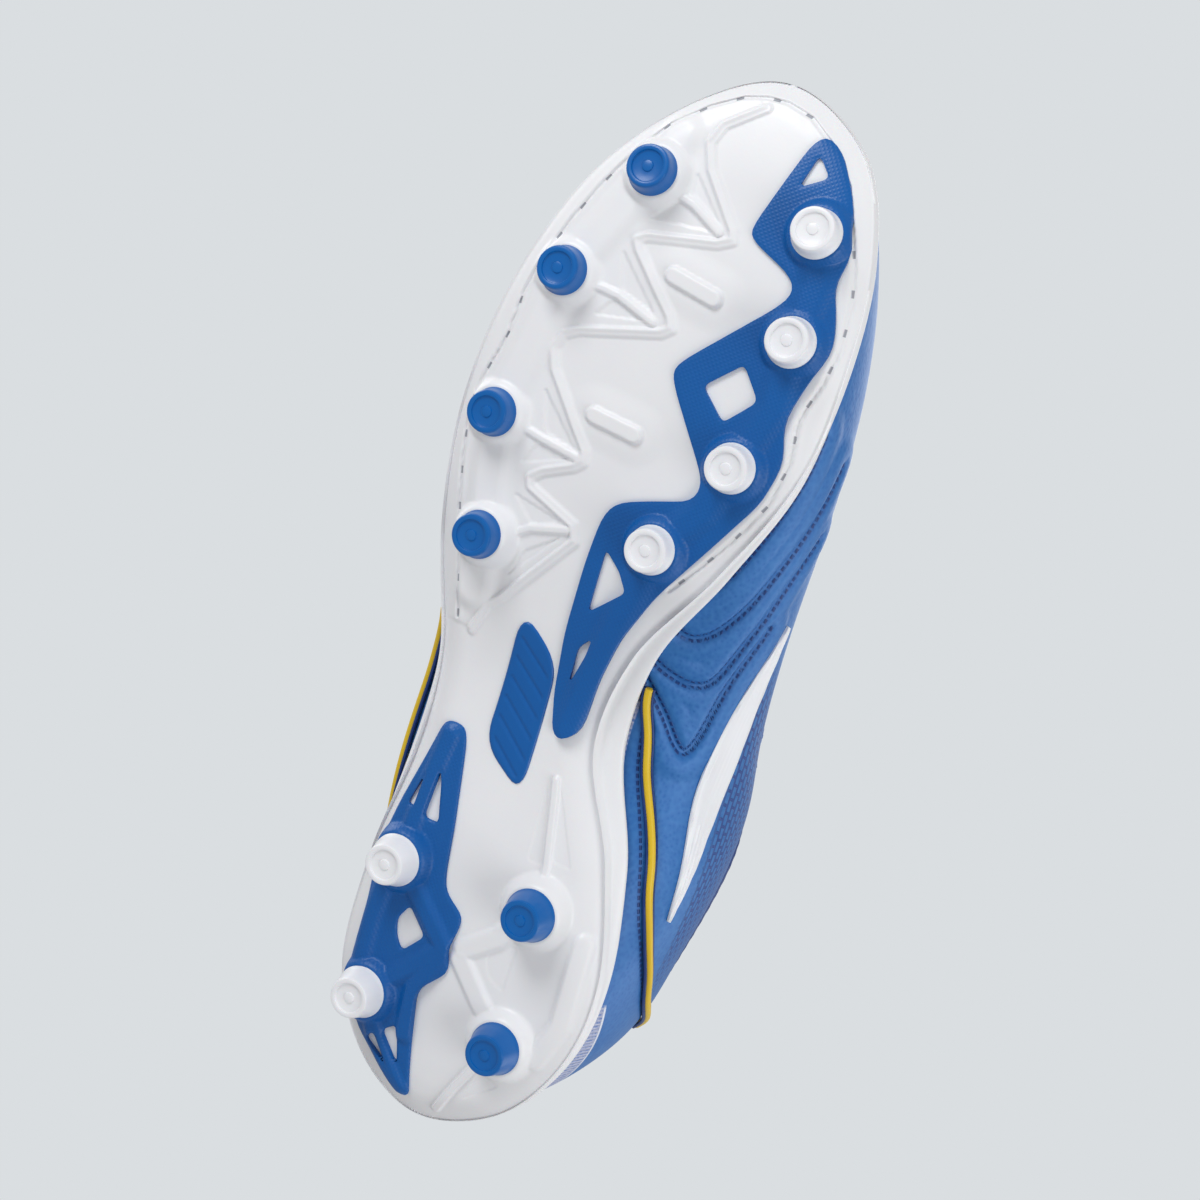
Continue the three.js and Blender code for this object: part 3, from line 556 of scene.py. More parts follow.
HEEL_INSERT = [(104.6, -29.5), (104.6, -25), (101.6, -23.2), (80, -18), (65.3, -15.4), (61.2, -13.6),
               (57.3, -7.3), (53.5, -7.1), (47.5, -8.3), (41.2, -6), (33, -13), (19.8, -10.7),
               (2.4, -7.2), (1.4, -9.5), (5.5, -15.5), (15.3, -27.6), (28, -34.6), (47, -34.6),
               (66.2, -37), (79, -35.4), (102.7, -30.9)]
HEEL_WINDOWS = [[(79.4, -32.8), (90, -30.3), (79.4, -30.3)], [(77.8, -26.9), (92.5, -26.8), (77.8, -22.3)],
                [(41, -20.9), (44.4, -23.6), (49, -24.9), (54, -22.3), (47.6, -15.6)],
                [(13.4, -23.8), (16.6, -21.4), (8.6, -14.9)],
                [(17.6, -19.6), (21, -15.6), (9.6, -12.4)]]
FORE_RIDGE = [(258, 26), (243, 30), (229, 29.4), (212, 30), (195.1, 25.4), (182, 21), (169, 12.4), (150, 8.6),
              (128, 4.6), (115, 3)]
HEEL_RIDGES = [[(26.4, -27.4), (47, -9)], [(47, -9), (65, -29.2)], [(28, -31), (46, -32), (65, -31)],
               [(4, -11), (15, -21), (26.4, -27.4)], [(101, -27.8), (84, -29), (65, -29.2)],
               [(20, -13), (33, -14), (47, -9)]]
BADGE = [(95, -6), (101, -15.5), (106, -18.2), (136, -18.2), (139, -15.6), (133, -8), (128, -5), (98, -4)]


def cut_out(p, outline, windows, fillet):
    """Signed distance to a filleted outline with windows, negative on the material."""
    d = polygon_distance(p, outline, fillet)
    for w in windows:
        d = np.maximum(d, -polygon_distance(p, w, 1.6))
    return d


def inlay(name, outline, windows, fillet, proud, pitch, mats, skirt=1.8):
    """A moulded inlay on the sole: a fine grid trimmed to its outline, with a skirt down its edge."""
    low, high = np.min(outline, axis=0) - 1.5, np.max(outline, axis=0) + 1.5
    xs, ys = np.arange(low[0], high[0], pitch), np.arange(low[1], high[1], pitch)
    p = np.stack(np.meshgrid(xs, ys, indexing="ij"), -1)
    d = cut_out(p, outline, windows, fillet)
    inside = d < 0
    keep = inside[:-1, :-1] | inside[1:, :-1] | inside[1:, 1:] | inside[:-1, 1:]
    for _ in range(3):
        gx = (cut_out(p + (.05, 0), outline, windows, fillet) - d) / .05
        gy = (cut_out(p + (0, .05), outline, windows, fillet) - d) / .05
        move = np.where(inside, 0, np.clip(d, 0, pitch * 1.6))
        p = p - np.stack([gx, gy], -1) * move[..., None]
        d = cut_out(p, outline, windows, fillet)
    z = sole_z(p[..., 0]) + edge_curl(p, ring_edge) - proud(p, np.minimum(0, d))
    n = len(ys)
    faces = []
    edges = {}
    for i, j in np.argwhere(keep):
        face = (i * n + j, i * n + j + 1, (i + 1) * n + j + 1, (i + 1) * n + j)
        faces.append(face)
        for a, b in zip(face, face[1:] + face[:1]):
            if (b, a) in edges:
                del edges[(b, a)]
            else:
                edges[(a, b)] = True
    points = np.concatenate([p, z[..., None]], -1).reshape(-1, 3)
    foot = points.copy()
    foot[:, 2] += skirt
    faces += [(b, a, a + len(points), b + len(points)) for a, b in edges]
    points = np.concatenate([points, foot])
    used = sorted({k for f in faces for k in f})
    new = {k: i for i, k in enumerate(used)}
    return weld(make_mesh(name, points[used], [[new[k] for k in f] for f in faces], mats, 0))


def fore_proud(p, d):
    """Millimetres that the forefoot insert stands proud, d being its signed edge distance."""
    h = 1.3 - .5 * (1 - np.minimum(1, -d / .8))**2
    h = soft_max(h, 1.2 + 1.5 * (1 - smooth(line_distance(p, FORE_RIDGE), 1.5, 6.4)), .3)
    for stud in MEDIAL_STUDS.values():
        h = soft_max(h, mound(p, stud, FORE_HEIGHT, FORE_BASE), .3)
    return h


def heel_proud(p, d):
    """The same for the heel insert, with its moulded ridges."""
    h = 1.3 - .5 * (1 - np.minimum(1, -d / .8))**2
    for ridge in HEEL_RIDGES:
        h = soft_max(h, 1.2 + 1.4 * (1 - smooth(line_distance(p, ridge), 1.2, 4.2)), .3)
    for name in ("lateral_front", "lateral_rear"):
        h = soft_max(h, mound(p, HEEL_STUDS[name], HEEL_HEIGHT, HEEL_BASE), .3)
    return h - .3 * (1 - np.minimum(1, -d / .6))**2


def badge_proud(p, d):
    """A plain tapered bar with a border and five slanting grooves."""
    h = 1.0 - .45 * (1 - np.minimum(1, -d / .7))**2
    field = smooth(-d, 1.4, 1.9)
    slant = np.abs(((p[..., 0] + .8 * p[..., 1]) / 5.6) % 1 - .5) * 5.6
    return h - .35 * field * (1 - smooth(slant, .35, .8))


pitch = .42
finished(inlay("forefoot_insert_moulding", FORE_INSERT, FORE_WINDOWS, 4, fore_proud, pitch, BLUE_TPU),
         "blue_tpu", "forefoot_insert", angle=50)
finished(inlay("heel_insert_moulding", HEEL_INSERT, HEEL_WINDOWS, 3, heel_proud, pitch, BLUE_TPU),
         "blue_tpu", "heel_insert", angle=50)
finished(inlay("arch_badge_moulding", BADGE, [], 3.5, badge_proud, pitch, BADGE_TPU, 1.2),
         "blue_tpu", "arch_badge", angle=50)


def stud_mesh(name, stud, height, base, mats):
    """A turned stud: rounded rim, shallow dish in the tip, and a small button in the dish."""
    x, y, z, tilt = stud
    profile = [(0, .28), (1.1, .28), (1.35, .36), (1.5, .62), (3.7, .62), (3.95, .5), (4.1, .12), (4.3, 0),
               (4.9, 0), (5.25, .1), (5.45, .35), (5.6, .8), (base - .55, height - 1.9),
               (base - .3, height - .9), (base - .1, height - .2), (base + .2, height + .3),
               (base + .3, height + 1), (0, height + 1)]
    turn = 48
    angles = np.linspace(0, 2 * np.pi, turn, endpoint=False)
    r, h = np.array(profile).T
    ring = np.stack([np.outer(r, np.cos(angles)), np.outer(r, np.sin(angles)),
                     np.repeat(h[:, None], turn, axis=1)], -1)
    lean = math.radians(tilt)
    px = ring[..., 0] * math.cos(lean) - ring[..., 2] * math.sin(lean) + x
    pz = ring[..., 0] * math.sin(lean) + ring[..., 2] * math.cos(lean) + z
    ring = np.stack([px, ring[..., 1] + y, np.maximum(.02, pz)], -1).transpose(1, 0, 2)
    return weld(make_mesh(name, ring, grid_faces(turn, len(profile), 0, True), mats, 0))


for row, studs, height, base in (("stud_lateral_", LATERAL_STUDS, FORE_HEIGHT, FORE_BASE),
                                 ("stud_medial_", MEDIAL_STUDS, FORE_HEIGHT, FORE_BASE),
                                 ("stud_heel_", HEEL_STUDS, HEEL_HEIGHT, HEEL_BASE)):
    for name, stud in studs.items():
        blue = row == "stud_lateral_" or name.startswith("medial_")
        piece = stud_mesh("turned_" + row + name, stud, height, base, BLUE_STUD if blue else WHITE_STUD)
        finished(piece, "blue_stud_tpu" if blue else "white_stud_tpu", row + name, angle=35)


# ---------------------------------------------------------------- upper materials
def leather(name, code, shade, scales=False):
    """Coated synthetic leather: blue with a painted pearly sheen on the raised pebble rims, pebbled finely,
    with rows of dark lockstitch and painted shade along their sunk grooves.

    The pebbles are 1.2 mm, coarser than the real ones, so that they show."""
    m = new_material(name, IOR=1.45, Metallic=.12, Coat_Weight=.08, Coat_Roughness=.4)
    place = node(m, "TexCoord", {}, out="Object")
    cloud = node(m, "TexNoise", {"Vector": place, "Scale": 45.0, "Detail": 5.0})
    pebble = node(m, "TexVoronoi", {"Vector": place, "Scale": 800.0}, feature="SMOOTH_F1")
    tone = node(m, "Mix", {0: cloud, 6: rgb(code), 7: rgb(shade)}, out=2, data_type="RGBA")
    # Painted sheen: a lighter pearly blue on the raised pebble rims stands in for the coating's highlights.
    painted_pearl_sheen = node(m, "MapRange", {"Value": pebble, "From Min": .1, "From Max": .7, "To Max": .22})
    tone = node(m, "Mix", {0: painted_pearl_sheen, 6: tone, 7: rgb("#4F97D2")}, out=2, data_type="RGBA")
    gloss = node(m, "MapRange", {"Value": cloud, "To Min": .4, "To Max": .56})
    skin_bump = node(m, "Bump", {"Height": pebble, "Distance": .00018, "Strength": .6})
    if scales:
        # Embossed scales in staggered rows 2.7 mm apart, on the quarter beside the throat.
        spot = node(m, "Attribute", {}, out="Vector", attribute_name="upper")
        side = node(m, "SeparateXYZ", {0: spot}, out=2)
        high = node(m, "SeparateXYZ", {0: spot}, out=1)
        brick = node(m, "TexBrick", {"Vector": spot, "Scale": 1.0, "Mortar Size": .5, "Mortar Smooth": .3,
                                     "Brick Width": 4.2, "Row Height": 2.7}, out="Fac")
        from_seam = node(m, "MapRange", {"Value": side, "From Min": 4.9, "From Max": 5.6})
        to_heel = node(m, "MapRange", {"Value": side, "From Min": 9.6, "From Max": 8.4})
        above = node(m, "MapRange", {"Value": high, "From Min": 36.0, "From Max": 39.0})
        field = node(m, "Math", {0: from_seam, 1: to_heel}, operation="MULTIPLY")
        field = node(m, "Math", {0: field, 1: above}, operation="MULTIPLY")
        mark_here = node(m, "Math", {0: brick, 1: field}, operation="MULTIPLY")
        tone = node(m, "Mix", {0: mark_here, 6: tone, 7: rgb("#1B4690")}, out=2, data_type="RGBA")
        skin_bump = node(m, "Bump", {"Height": mark_here, "Distance": .0004, "Strength": .9,
                                     "Normal": skin_bump}, invert=True)
    seam_rows = node(m, "Attribute", {}, out="Vector", attribute_name="stitch")
    along = node(m, "SeparateXYZ", {0: seam_rows}, out=0)
    away = node(m, "SeparateXYZ", {0: seam_rows}, out=1)
    # One stitch each 1.9 mm, the thread 0.6 mm thick.
    step = node(m, "Math", {0: along, 1: 1.9}, operation="DIVIDE")
    part = node(m, "Math", {0: step}, operation="FRACT")
    stitch = node(m, "Math", {0: part, 1: .64}, operation="LESS_THAN")
    near = node(m, "MapRange", {"Value": away, "From Min": .2, "From Max": .42, "To Min": 1.0, "To Max": 0.0})
    # Painted shade: a darker band along each stitch row, where the sunk groove would lie in shade.
    painted_groove_shade = node(m, "MapRange", {"Value": away, "From Min": .2, "From Max": .9, "To Min": .4, "To Max": 0.0})
    thread = node(m, "Math", {0: stitch, 1: near}, operation="MULTIPLY")
    tone = node(m, "Mix", {0: painted_groove_shade, 6: tone, 7: rgb("#1A4A92")}, out=2, data_type="RGBA")
    tone = node(m, "Mix", {0: thread, 6: tone, 7: rgb("#123878")}, out=2, data_type="RGBA")
    skin_bump = node(m, "Bump", {"Height": thread, "Distance": .0003, "Strength": .8, "Normal": skin_bump})
    feed(m, Base_Color=tone, Roughness=gloss, Normal=skin_bump)
    return m


def knitted(name, code, shade, pitch, roughness=.85):
    """A knitted or woven textile: crossing yarns twice `pitch` (metres) apart, matt."""
    m = new_material(name, Roughness=roughness, Sheen_Weight=.25, Sheen_Roughness=.5)
    place = node(m, "TexCoord", {}, out="Object")
    scale = .5 / pitch / 3.1416
    warp = node(m, "TexWave", {"Vector": place, "Scale": scale, "Distortion": .6}, out=1, bands_direction="X")
    weft = node(m, "TexWave", {"Vector": place, "Scale": scale, "Distortion": .6}, out=1, bands_direction="Z")
    rib = node(m, "TexWave", {"Vector": place, "Scale": scale}, out=1, bands_direction="Y")
    yarn = node(m, "Math", {0: warp, 1: weft}, operation="MAXIMUM")
    yarn = node(m, "Math", {0: yarn, 1: rib}, operation="ADD")
    share = node(m, "MapRange", {"Value": yarn, "To Max": .9, "From Max": 2.0})
    tone = node(m, "Mix", {0: share, 6: rgb(shade), 7: rgb(code)}, out=2, data_type="RGBA")
    bumpy = node(m, "Bump", {"Height": yarn, "Distance": pitch * .35, "Strength": .7})
    feed(m, Base_Color=tone, Normal=bumpy)
    return m


def heel_panel():
    """Coated leather whose heel end is covered by ribbed grey knit, with a heather strip along its foot."""
    m = leather("coated_leather_rear_panel", "#256BB4", "#1F5FA8")
    spot = node(m, "Attribute", {}, out="Vector", attribute_name="upper")
    side = node(m, "SeparateXYZ", {0: spot}, out=2)
    high = node(m, "SeparateXYZ", {0: spot}, out=1)
    along = node(m, "SeparateXYZ", {0: spot}, out=0)
    # Ribs 1.3 mm apart.
    rib = node(m, "Math", {0: along, 1: 4.8}, operation="MULTIPLY")
    rib = node(m, "Math", {0: rib}, operation="SINE")
    rib = node(m, "MapRange", {"Value": rib, "From Min": -1.0})
    slope = node(m, "Math", {0: high, 1: .0769}, operation="MULTIPLY")
    reach = node(m, "Math", {0: side, 1: slope}, operation="SUBTRACT")
    knit = node(m, "MapRange", {"Value": reach, "From Min": 8.42, "From Max": 8.45})
    ends = node(m, "MapRange", {"Value": side, "From Min": 9.08, "From Max": 9.14})
    knit = node(m, "Math", {0: knit, 1: ends}, operation="MULTIPLY")
    border = node(m, "Math", {0: reach, 1: 8.4, 2: .045}, operation="COMPARE")
    border = node(m, "Math", {0: border, 1: ends}, operation="MULTIPLY")
    low = node(m, "MapRange", {"Value": high, "From Min": 5.2, "From Max": 5.5, "To Min": 1.0,
                               "To Max": 0.0})
    knit = node(m, "Math", {0: knit, 1: low}, operation="MAXIMUM")
    place = node(m, "TexCoord", {}, out="Object")
    fleck = node(m, "TexNoise", {"Vector": place, "Scale": 900.0, "Detail": 2.0})
    fleck = node(m, "MapRange", {"Value": fleck, "From Min": .42, "From Max": .58})
    yarn = node(m, "Mix", {0: rib, 6: rgb("#5F7FC0"), 7: rgb("#C3C8DC")}, out=2, data_type="RGBA")
    yarn = node(m, "Mix", {0: fleck, 6: yarn, 7: rgb("#A9B2D2")}, out=2, data_type="RGBA")
    shader = m.node_tree.nodes["Principled BSDF"]
    tone = node(m, "Mix", {0: knit, 6: shader.inputs["Base Color"].links[0].from_socket, 7: yarn}, out=2,
                data_type="RGBA")
    tone = node(m, "Mix", {0: border, 6: tone, 7: rgb("#DDE2EE")}, out=2, data_type="RGBA")
    ribbed = node(m, "Math", {0: rib, 1: knit}, operation="MULTIPLY")
    bumpy = node(m, "Bump", {"Height": ribbed, "Distance": .0004, "Strength": .7,
                             "Normal": shader.inputs["Normal"].links[0].from_socket})
    feed(m, Base_Color=tone, Normal=bumpy)
    return m


LEATHER = leather("coated_synthetic_leather", "#206CB6", "#1A5FA8", scales=True)
REAR = heel_panel()
TRIM = leather("coated_navy_trim", "#1C3F7C", "#17356B")
KNIT_LINING = knitted("brushed_knit_lining", "#C6CBD4", "#9BA3B3", .0016)
COLLAR_MESH = knitted("spacer_mesh_collar", "#234A8C", "#142F63", .0018)
TONGUE_MESH = knitted("spacer_mesh_tongue", "#2F69B2", "#1E4E93", .0024)
RIB_KNIT = knitted("ribbed_heel_knit", "#B9BFD6", "#8593C4", .0014)
FOAM_COVER = knitted("knit_covered_sockliner_foam", "#22407A", "#162E5E", .0016)
LACE_YARN = knitted("braided_polyester_lace", "#2F6DBB", "#1E5199", .0011)
PIPING = polyurethane("extruded_yellow_piping", "#E8C52E", "#D9B524", .38)
FILM = polyurethane("heat_pressed_white_film", "#F4F5F8", "#E8EAF0", .3)
BOARD = knitted("pressed_fibre_board", "#B9A98C", "#A3926F", .003)
STIFF = knitted("resin_stiffener_board", "#D9D2C0", "#C4BBA4", .003)

# ---------------------------------------------------------------- upper
QUILTING = [[(16.3, 0), (16.1, .03), (15.8, .045), (15.2, .045), (14.6, .04)],
            [(16.55, 0), (16.67, .06), (16.62, .11), (16.4, .15), (15.9, .19), (15.2, .23), (14.6, .27)],
            [(16.95, .01), (17.06, .08), (17.08, .16), (16.9, .22), (16.3, .255), (15.7, .29), (15.2, .34)],
            [(17.12, .02), (17.45, .12), (17.68, .18), (17.72, .215), (17.5, .245), (16.9, .27), (16.2, .31)]]
STRIPES = {"medial": (16, 19.4, .42, .3), "lateral": (3.1, 6.5, .3, .42)}


def mirrored(line):
    """A medial line of upper stations copied to the lateral side."""
    return [(MIRROR - u, v) for u, v in line]


def curve_on_upper(line, lift=0.0, step=.12):
    """A smooth curve through a line of stations on the upper, in millimetres."""
    line = np.array(line, float)
    t = np.arange(0, len(line) - 1 + step / 2, step)
    u, v = spline(line, np.minimum(t, len(line) - 1.0001), closed=False).T
    return on_upper(u, np.clip(v, 0, 1), np.full(len(u), lift))


def seam_share(rows, u):
    order = np.argsort(rows[:, 0])
    share = np.interp(u, rows[order, 0], rows[order, 1])
    return np.minimum(share, .985)


def skin(name, u0, u1, low, high, mats, lift=0.0, thick=SKIN, lines=(), relief=None, rows_of=1, soft=.6,
         body=BODY):
    """A sewn panel of the upper: a closed sheet with softened edges and stitch rows near some lines."""
    pitch = .6
    nu = max(6, int((u1 - u0) * STATION / pitch))
    u = np.linspace(u0, u1, nu)[:, None]
    lo, hi = low(u), high(u)
    nv = max(5, int(np.max(hi - lo) * MERIDIAN / pitch))
    v = lo + (hi - lo) * np.linspace(0, 1, nv)[None]
    u = np.broadcast_to(u, v.shape)
    p, normal = upper_point(u, v), upper_normal(u, v)
    edge = np.minimum(v - lo, hi - v) * MERIDIAN
    height = lift - soft * (1 - np.minimum(1, np.maximum(0, edge) / 1.4))**2
    along, away = np.zeros(v.shape), np.full(v.shape, 9.0)
    for line in lines:
        a, d = along_line(p, curve_on_upper(line) if len(line[0]) == 2 else line)
        near = d < away
        along, away = np.where(near, a, along), np.where(near, d, away)
    if relief is not None:
        height = height + relief(u, v, away)
    outer, inner = p + normal * height[..., None], p - normal * thick
    away = away if rows_of == 1 else np.abs(away - .85)
    marks = {"upper": (u * STATION, v * MERIDIAN, np.abs(u - MIRROR / 2)), "stitch": (along, away)}
    return sheet_mesh(name, outer, inner, mats, body, marks=marks)


def quilted(u, v, away):
    """Puffed leather between the stitch rows, sunk at the rows, fading out away from them."""
    puff = smooth(away, 0, 3.2) * (1 - smooth(away, 4.5, 9))
    return .75 * puff - .55 * (1 - smooth(away, .2, 1.5))


def flat_share(share):
    """A panel edge at one share of the meridian all along."""
    return lambda u: np.full(np.shape(u), share)


VAMP_FROM, VAMP_TO = 5.4, 17.1
quilt_rows = QUILTING + [mirrored(line) for line in QUILTING]
SEAM_GAP = .006                 # share left open on each side of a seam
finished(skin("vamp_panel", VAMP_FROM, VAMP_TO, flat_share(.004), flat_share(.99), LEATHER,
              lines=quilt_rows, relief=quilted, rows_of=2, soft=.3), "blue_synthetic_leather", "vamp")


def beside_seam(rows, gap):
    """The share at which a panel stops, a gap above or below a seam."""
    return lambda u: seam_share(rows, u) + gap


for side, u0, u1, seam in (("medial", VAMP_TO, 21.2, SEAM_MEDIAL), ("lateral", 1.4, VAMP_FROM, SEAM_LATERAL)):
    finished(skin(side + "_quarter_panel", u0, u1, beside_seam(seam, SEAM_GAP), flat_share(.99), LEATHER,
                  lines=quilt_rows, relief=quilted, rows_of=2), "blue_synthetic_leather", side + "_quarter")
BACK_ROW = [(17.3, .075), (17.65, .085), (18.35, .105), (19.1, .115), (19.6, .17), (20.2, .34), (20.9, .75)]
for side, u0, u1, seam, row in (("medial", 17.2, N - .005, SEAM_MEDIAL, BACK_ROW),
                                ("lateral", .005, 5.3, SEAM_LATERAL, mirrored(BACK_ROW))):
    finished(skin("rear_%s_panel" % side, u0, u1, flat_share(.004), beside_seam(seam, -SEAM_GAP), REAR,
                  lines=[row]), "blue_synthetic_leather", "rear_panel_" + side)


def strip_relief(u, v, away):
    """Ribs running up the heel strip."""
    return .25 * np.sin(u * 60)


finished(skin("heel_rib_strip", -.4, .4, flat_share(.2), flat_share(.97), RIB_KNIT, lift=OVERLAY + 1,
              thick=-OVERLAY, relief=strip_relief), "grey_rib_knit", "heel_strip")
for side, u0, u1 in (("lateral", 5, 11), ("medial", 11.05, 17.5)):
    row = [(u, .865) for u in np.linspace(u0 + .1, u1 - .1, 9)]
    finished(skin("eyestay_%s_panel" % side, u0, u1, flat_share(.84), flat_share(.99), TRIM,
                  lift=OVERLAY + .9, thick=-.2, lines=[row]), "navy_trim", "eyestay_" + side)


def stripe(name, u0, u1, va, vb):
    """A plain tapered stripe with fine lengthwise ribs."""
    def middle(u):
        return va + (vb - va) * (u - u0) / (u1 - u0)

    def half(u):
        return .006 + .055 * np.sin(np.pi * np.clip((u - u0) / (u1 - u0), 0, 1))**.8

    def ribs(u, v, away):
        return .12 * np.sin((v - middle(u)) * MERIDIAN * 4.2)
    return skin(name, u0, u1, lambda u: middle(u) - half(u), lambda u: middle(u) + half(u), FILM,
                lift=OVERLAY + .6, thick=-.1, relief=ribs, soft=.5)


for side, figures in STRIPES.items():
    finished(stripe("stripe_%s_film" % side, *figures), "white_film", "side_stripe_" + side)


def piping_path(rows):
    """The piping's centre line along a seam, kept above the side wall, and the way it faces."""
    u0, u1 = rows[0, 0], rows[-1, 0]
    u = np.linspace(u0 + (u1 - u0) * .04, u1 - (u1 - u0) * .03, 90)
    v = np.maximum(wall_share(u) + .012, seam_share(rows, u))
    v = np.convolve(np.pad(v, 9, mode="edge"), np.hanning(19) / np.hanning(19).sum(), "valid")
    return on_upper(u, v, np.full(len(u), OVERLAY + .5)), upper_normal(u, v)


for side, rows_here in (("medial", SEAM_MEDIAL), ("lateral", SEAM_LATERAL)):
    path, facing = piping_path(rows_here)
    finished(tube_mesh("piping_%s_cord" % side, path, 1.05, PIPING, 14, 1, BODY, facing), "yellow_piping",
             "piping_" + side)
    for sign in (-1, 1):
        tangent = np.gradient(path, axis=0)
        tangent /= np.linalg.norm(tangent, axis=1, keepdims=True)
        edge = path + np.cross(facing, tangent) * 1.25 * sign - facing * .25
        finished(tube_mesh("piping_%s_border_%d" % (side, sign + 1), edge, .5, TRIM, 8, 1, BODY, facing),
                 "navy_trim")


# ---------------------------------------------------------------- inside, collar, tongue and lace
def lining(name, span, high, counts, depth, mats, slot_name, node_name):
    """A thin sheet at a depth inside the upper's face."""
    grid_u, grid_v = np.meshgrid(np.linspace(*span, counts[0]), np.linspace(.05, high, counts[1]),
                                 indexing="ij")
    outer = on_upper(grid_u, grid_v, np.full(grid_u.shape, -depth))
    inner = on_upper(grid_u, grid_v, np.full(grid_u.shape, -depth - INNER_SHEET))
    finished(sheet_mesh(name, outer, inner, mats), slot_name, node_name)


for name, span, high, node_name in (("lining_front_knit", (5.5, 17.5), .96, "lining_front"),
                                    ("lining_rear_knit", (17.55, N + 5.45), .74, "lining_rear")):
    lining(name, span, high, (150, 60), LINING_DEPTH, KNIT_LINING, "lining_textile", node_name)
for name, span, high, node_name in (("toe_puff_board", (8.5, 14), .42, "toe_puff"),
                                    ("heel_counter_board", (20, N + 3), .6, "heel_counter")):
    lining(name, span, high, (60, 24), STIFFENER_DEPTH, STIFF, "stiffener_board", node_name)

# Collar: a foam cushion inside the rim, fuller in its middle, and a bound edge over the top.
COLLAR_FROM, COLLAR_TO = 18.0, N + 4.5
grid_u, around = np.meshgrid(np.linspace(COLLAR_FROM, COLLAR_TO, 160), np.linspace(0, 2 * np.pi, 37)[:-1],
                             indexing="ij")
ends = smooth(np.minimum(grid_u - COLLAR_FROM, COLLAR_TO - grid_u), 0, .35)
squared = np.sign(np.cos(around)) * np.abs(np.cos(around))**.55
share_v = .87 + .115 * squared
depth = -LINING_DEPTH + 2.1 * np.sin(around) * (.35 + .65 * ends)
ripple = .12 * np.sin(grid_u * 31) * np.clip(-np.sin(around), 0, 1)
ring = on_upper(grid_u, share_v, depth + ripple)
sides = ring.shape[1]
faces = []
for i in range(ring.shape[0] - 1):
    for j in range(sides):
        k = (j + 1) % sides
        faces.append((i * sides + j, i * sides + k, (i + 1) * sides + k, (i + 1) * sides + j))
faces += [tuple(range(sides)), tuple(range(len(ring) * sides - 1, (len(ring) - 1) * sides - 1, -1))]
collar = weld(make_mesh("collar_cushion", ring, faces, COLLAR_MESH, 0))
finished(collar, "collar_mesh", "collar_pad", angle=70)
u = np.linspace(COLLAR_FROM + .3, COLLAR_TO - .3, 220)
path = on_upper(u, np.ones_like(u), np.full(len(u), -2.2)) + (0, 0, 1.0)
finished(tube_mesh("collar_bound_edge", path, 2.6 + .06 * np.sin(np.arange(220) * 1.6), TRIM, 16),
         "navy_trim", "collar_binding")


def slab(inset, heel_inset, start, low, high, crown):
    """A sheet lying in the boot, cut to the sole's shape."""
    s, t = np.linspace(start, .965, 200), np.linspace(0, 1, 60)[None, :, None]
    i = (s * (rows - 1)).astype(int)
    left, right = lateral_edge[i], medial_edge[i]
    width = np.linalg.norm(right - left, axis=1)[:, None, None]
    heel = np.clip((.38 - s) / .3, 0, 1)[:, None, None]
    k = np.clip((inset + heel_inset * heel) / np.maximum(width, 1), 0, .45)
    share = k + (1 - 2 * k) * t
    p = left[:, None] * (1 - share) + right[:, None] * share
    z = sole_z(p[..., 0])
    rise = crown * (2 * np.abs(t[..., 0] - .5))**3 * np.ones_like(z)
    top, bottom_face = p.copy(), p.copy()
    top[..., 2], bottom_face[..., 2] = z + high + rise, z + low
    top[:, 0, 2] -= .5
    top[:, -1, 2] -= .5
    return top, bottom_face


for name, shape, mats, slot_name, node_name, body in (
        ("lasting_board_sheet", (11, 0, .035, 3.7, 5.0, 0), BOARD, "fibre_board", "lasting_board", BODY),
        ("sockliner_footbed", (12.5, 3, .055, 5.7, 8.6, .9), FOAM_COVER, "sockliner_foam", "sockliner",
         "sockliner")):
    top, under = slab(*shape)
    piece = finished(sheet_mesh(name, top, under, mats, body), slot_name, node_name)

TONGUE = np.array([[202, 3.6, 54, 14, 2], [190, 3.4, 58.5, 17, 4], [165, 3.2, 67.5, 21, 6],
                   [138, 3.6, 77, 22, 7], [114, 3.6, 84, 21, 8], [98, 4.2, 95, 22, 9], [88, 4.2, 112, 21, 8]])
TONGUE_THICK = 4


def tongue_face(a, b, back):
    """A point of the tongue: share a from its foot to its top, b across it, at a depth below its face."""
    x, y, z, half, drop = np.moveaxis(spline(TONGUE, a * (len(TONGUE) - 1.0001), closed=False), -1, 0)
    k = b * 2 - 1
    rise = np.where(a > .7, (a - .7) * 2.2, .25)
    return np.stack([x + back * rise, y + half * k, z - drop * k * k - back], -1)


a, b = np.meshgrid(np.linspace(0, 1, 150), np.linspace(0, 1, 80), indexing="ij")
rim = np.minimum(np.minimum(a, 1 - a) * 130, np.minimum(b, 1 - b) * 42)
round_edge = 1.6 * (1 - np.sqrt(np.clip(1 - (1 - np.clip(rim / 3, 0, 1))**2, 0, 1)))
channel = .5 * (1 - smooth(np.abs(rim - 5), .2, 1.4))
puff = .35 * np.sin(np.clip(a, 0, 1) * 60) * smooth(rim, 6, 9) * .35
tongue = sheet_mesh("tongue_cushion", tongue_face(a, b, round_edge + channel - puff),
                    tongue_face(a, b, TONGUE_THICK - round_edge), TONGUE_MESH, "tongue")
finished(tongue, "tongue_mesh", "tongue", angle=70)
border = np.concatenate([
    tongue_face(np.linspace(.35, .985, 60), np.full(60, .012), np.full(60, 2.0)),
    tongue_face(np.full(40, .99), np.linspace(.04, .96, 40), np.full(40, 2.0)),
    tongue_face(np.linspace(.985, .35, 60), np.full(60, .988), np.full(60, 2.0))])
finished(tube_mesh("tongue_bound_edge", border, 1.5, TRIM, 12, 1, "tongue"), "navy_trim")

# Lace: one flat braid crossing from eyelet to eyelet.
ROW_COUNT = 6


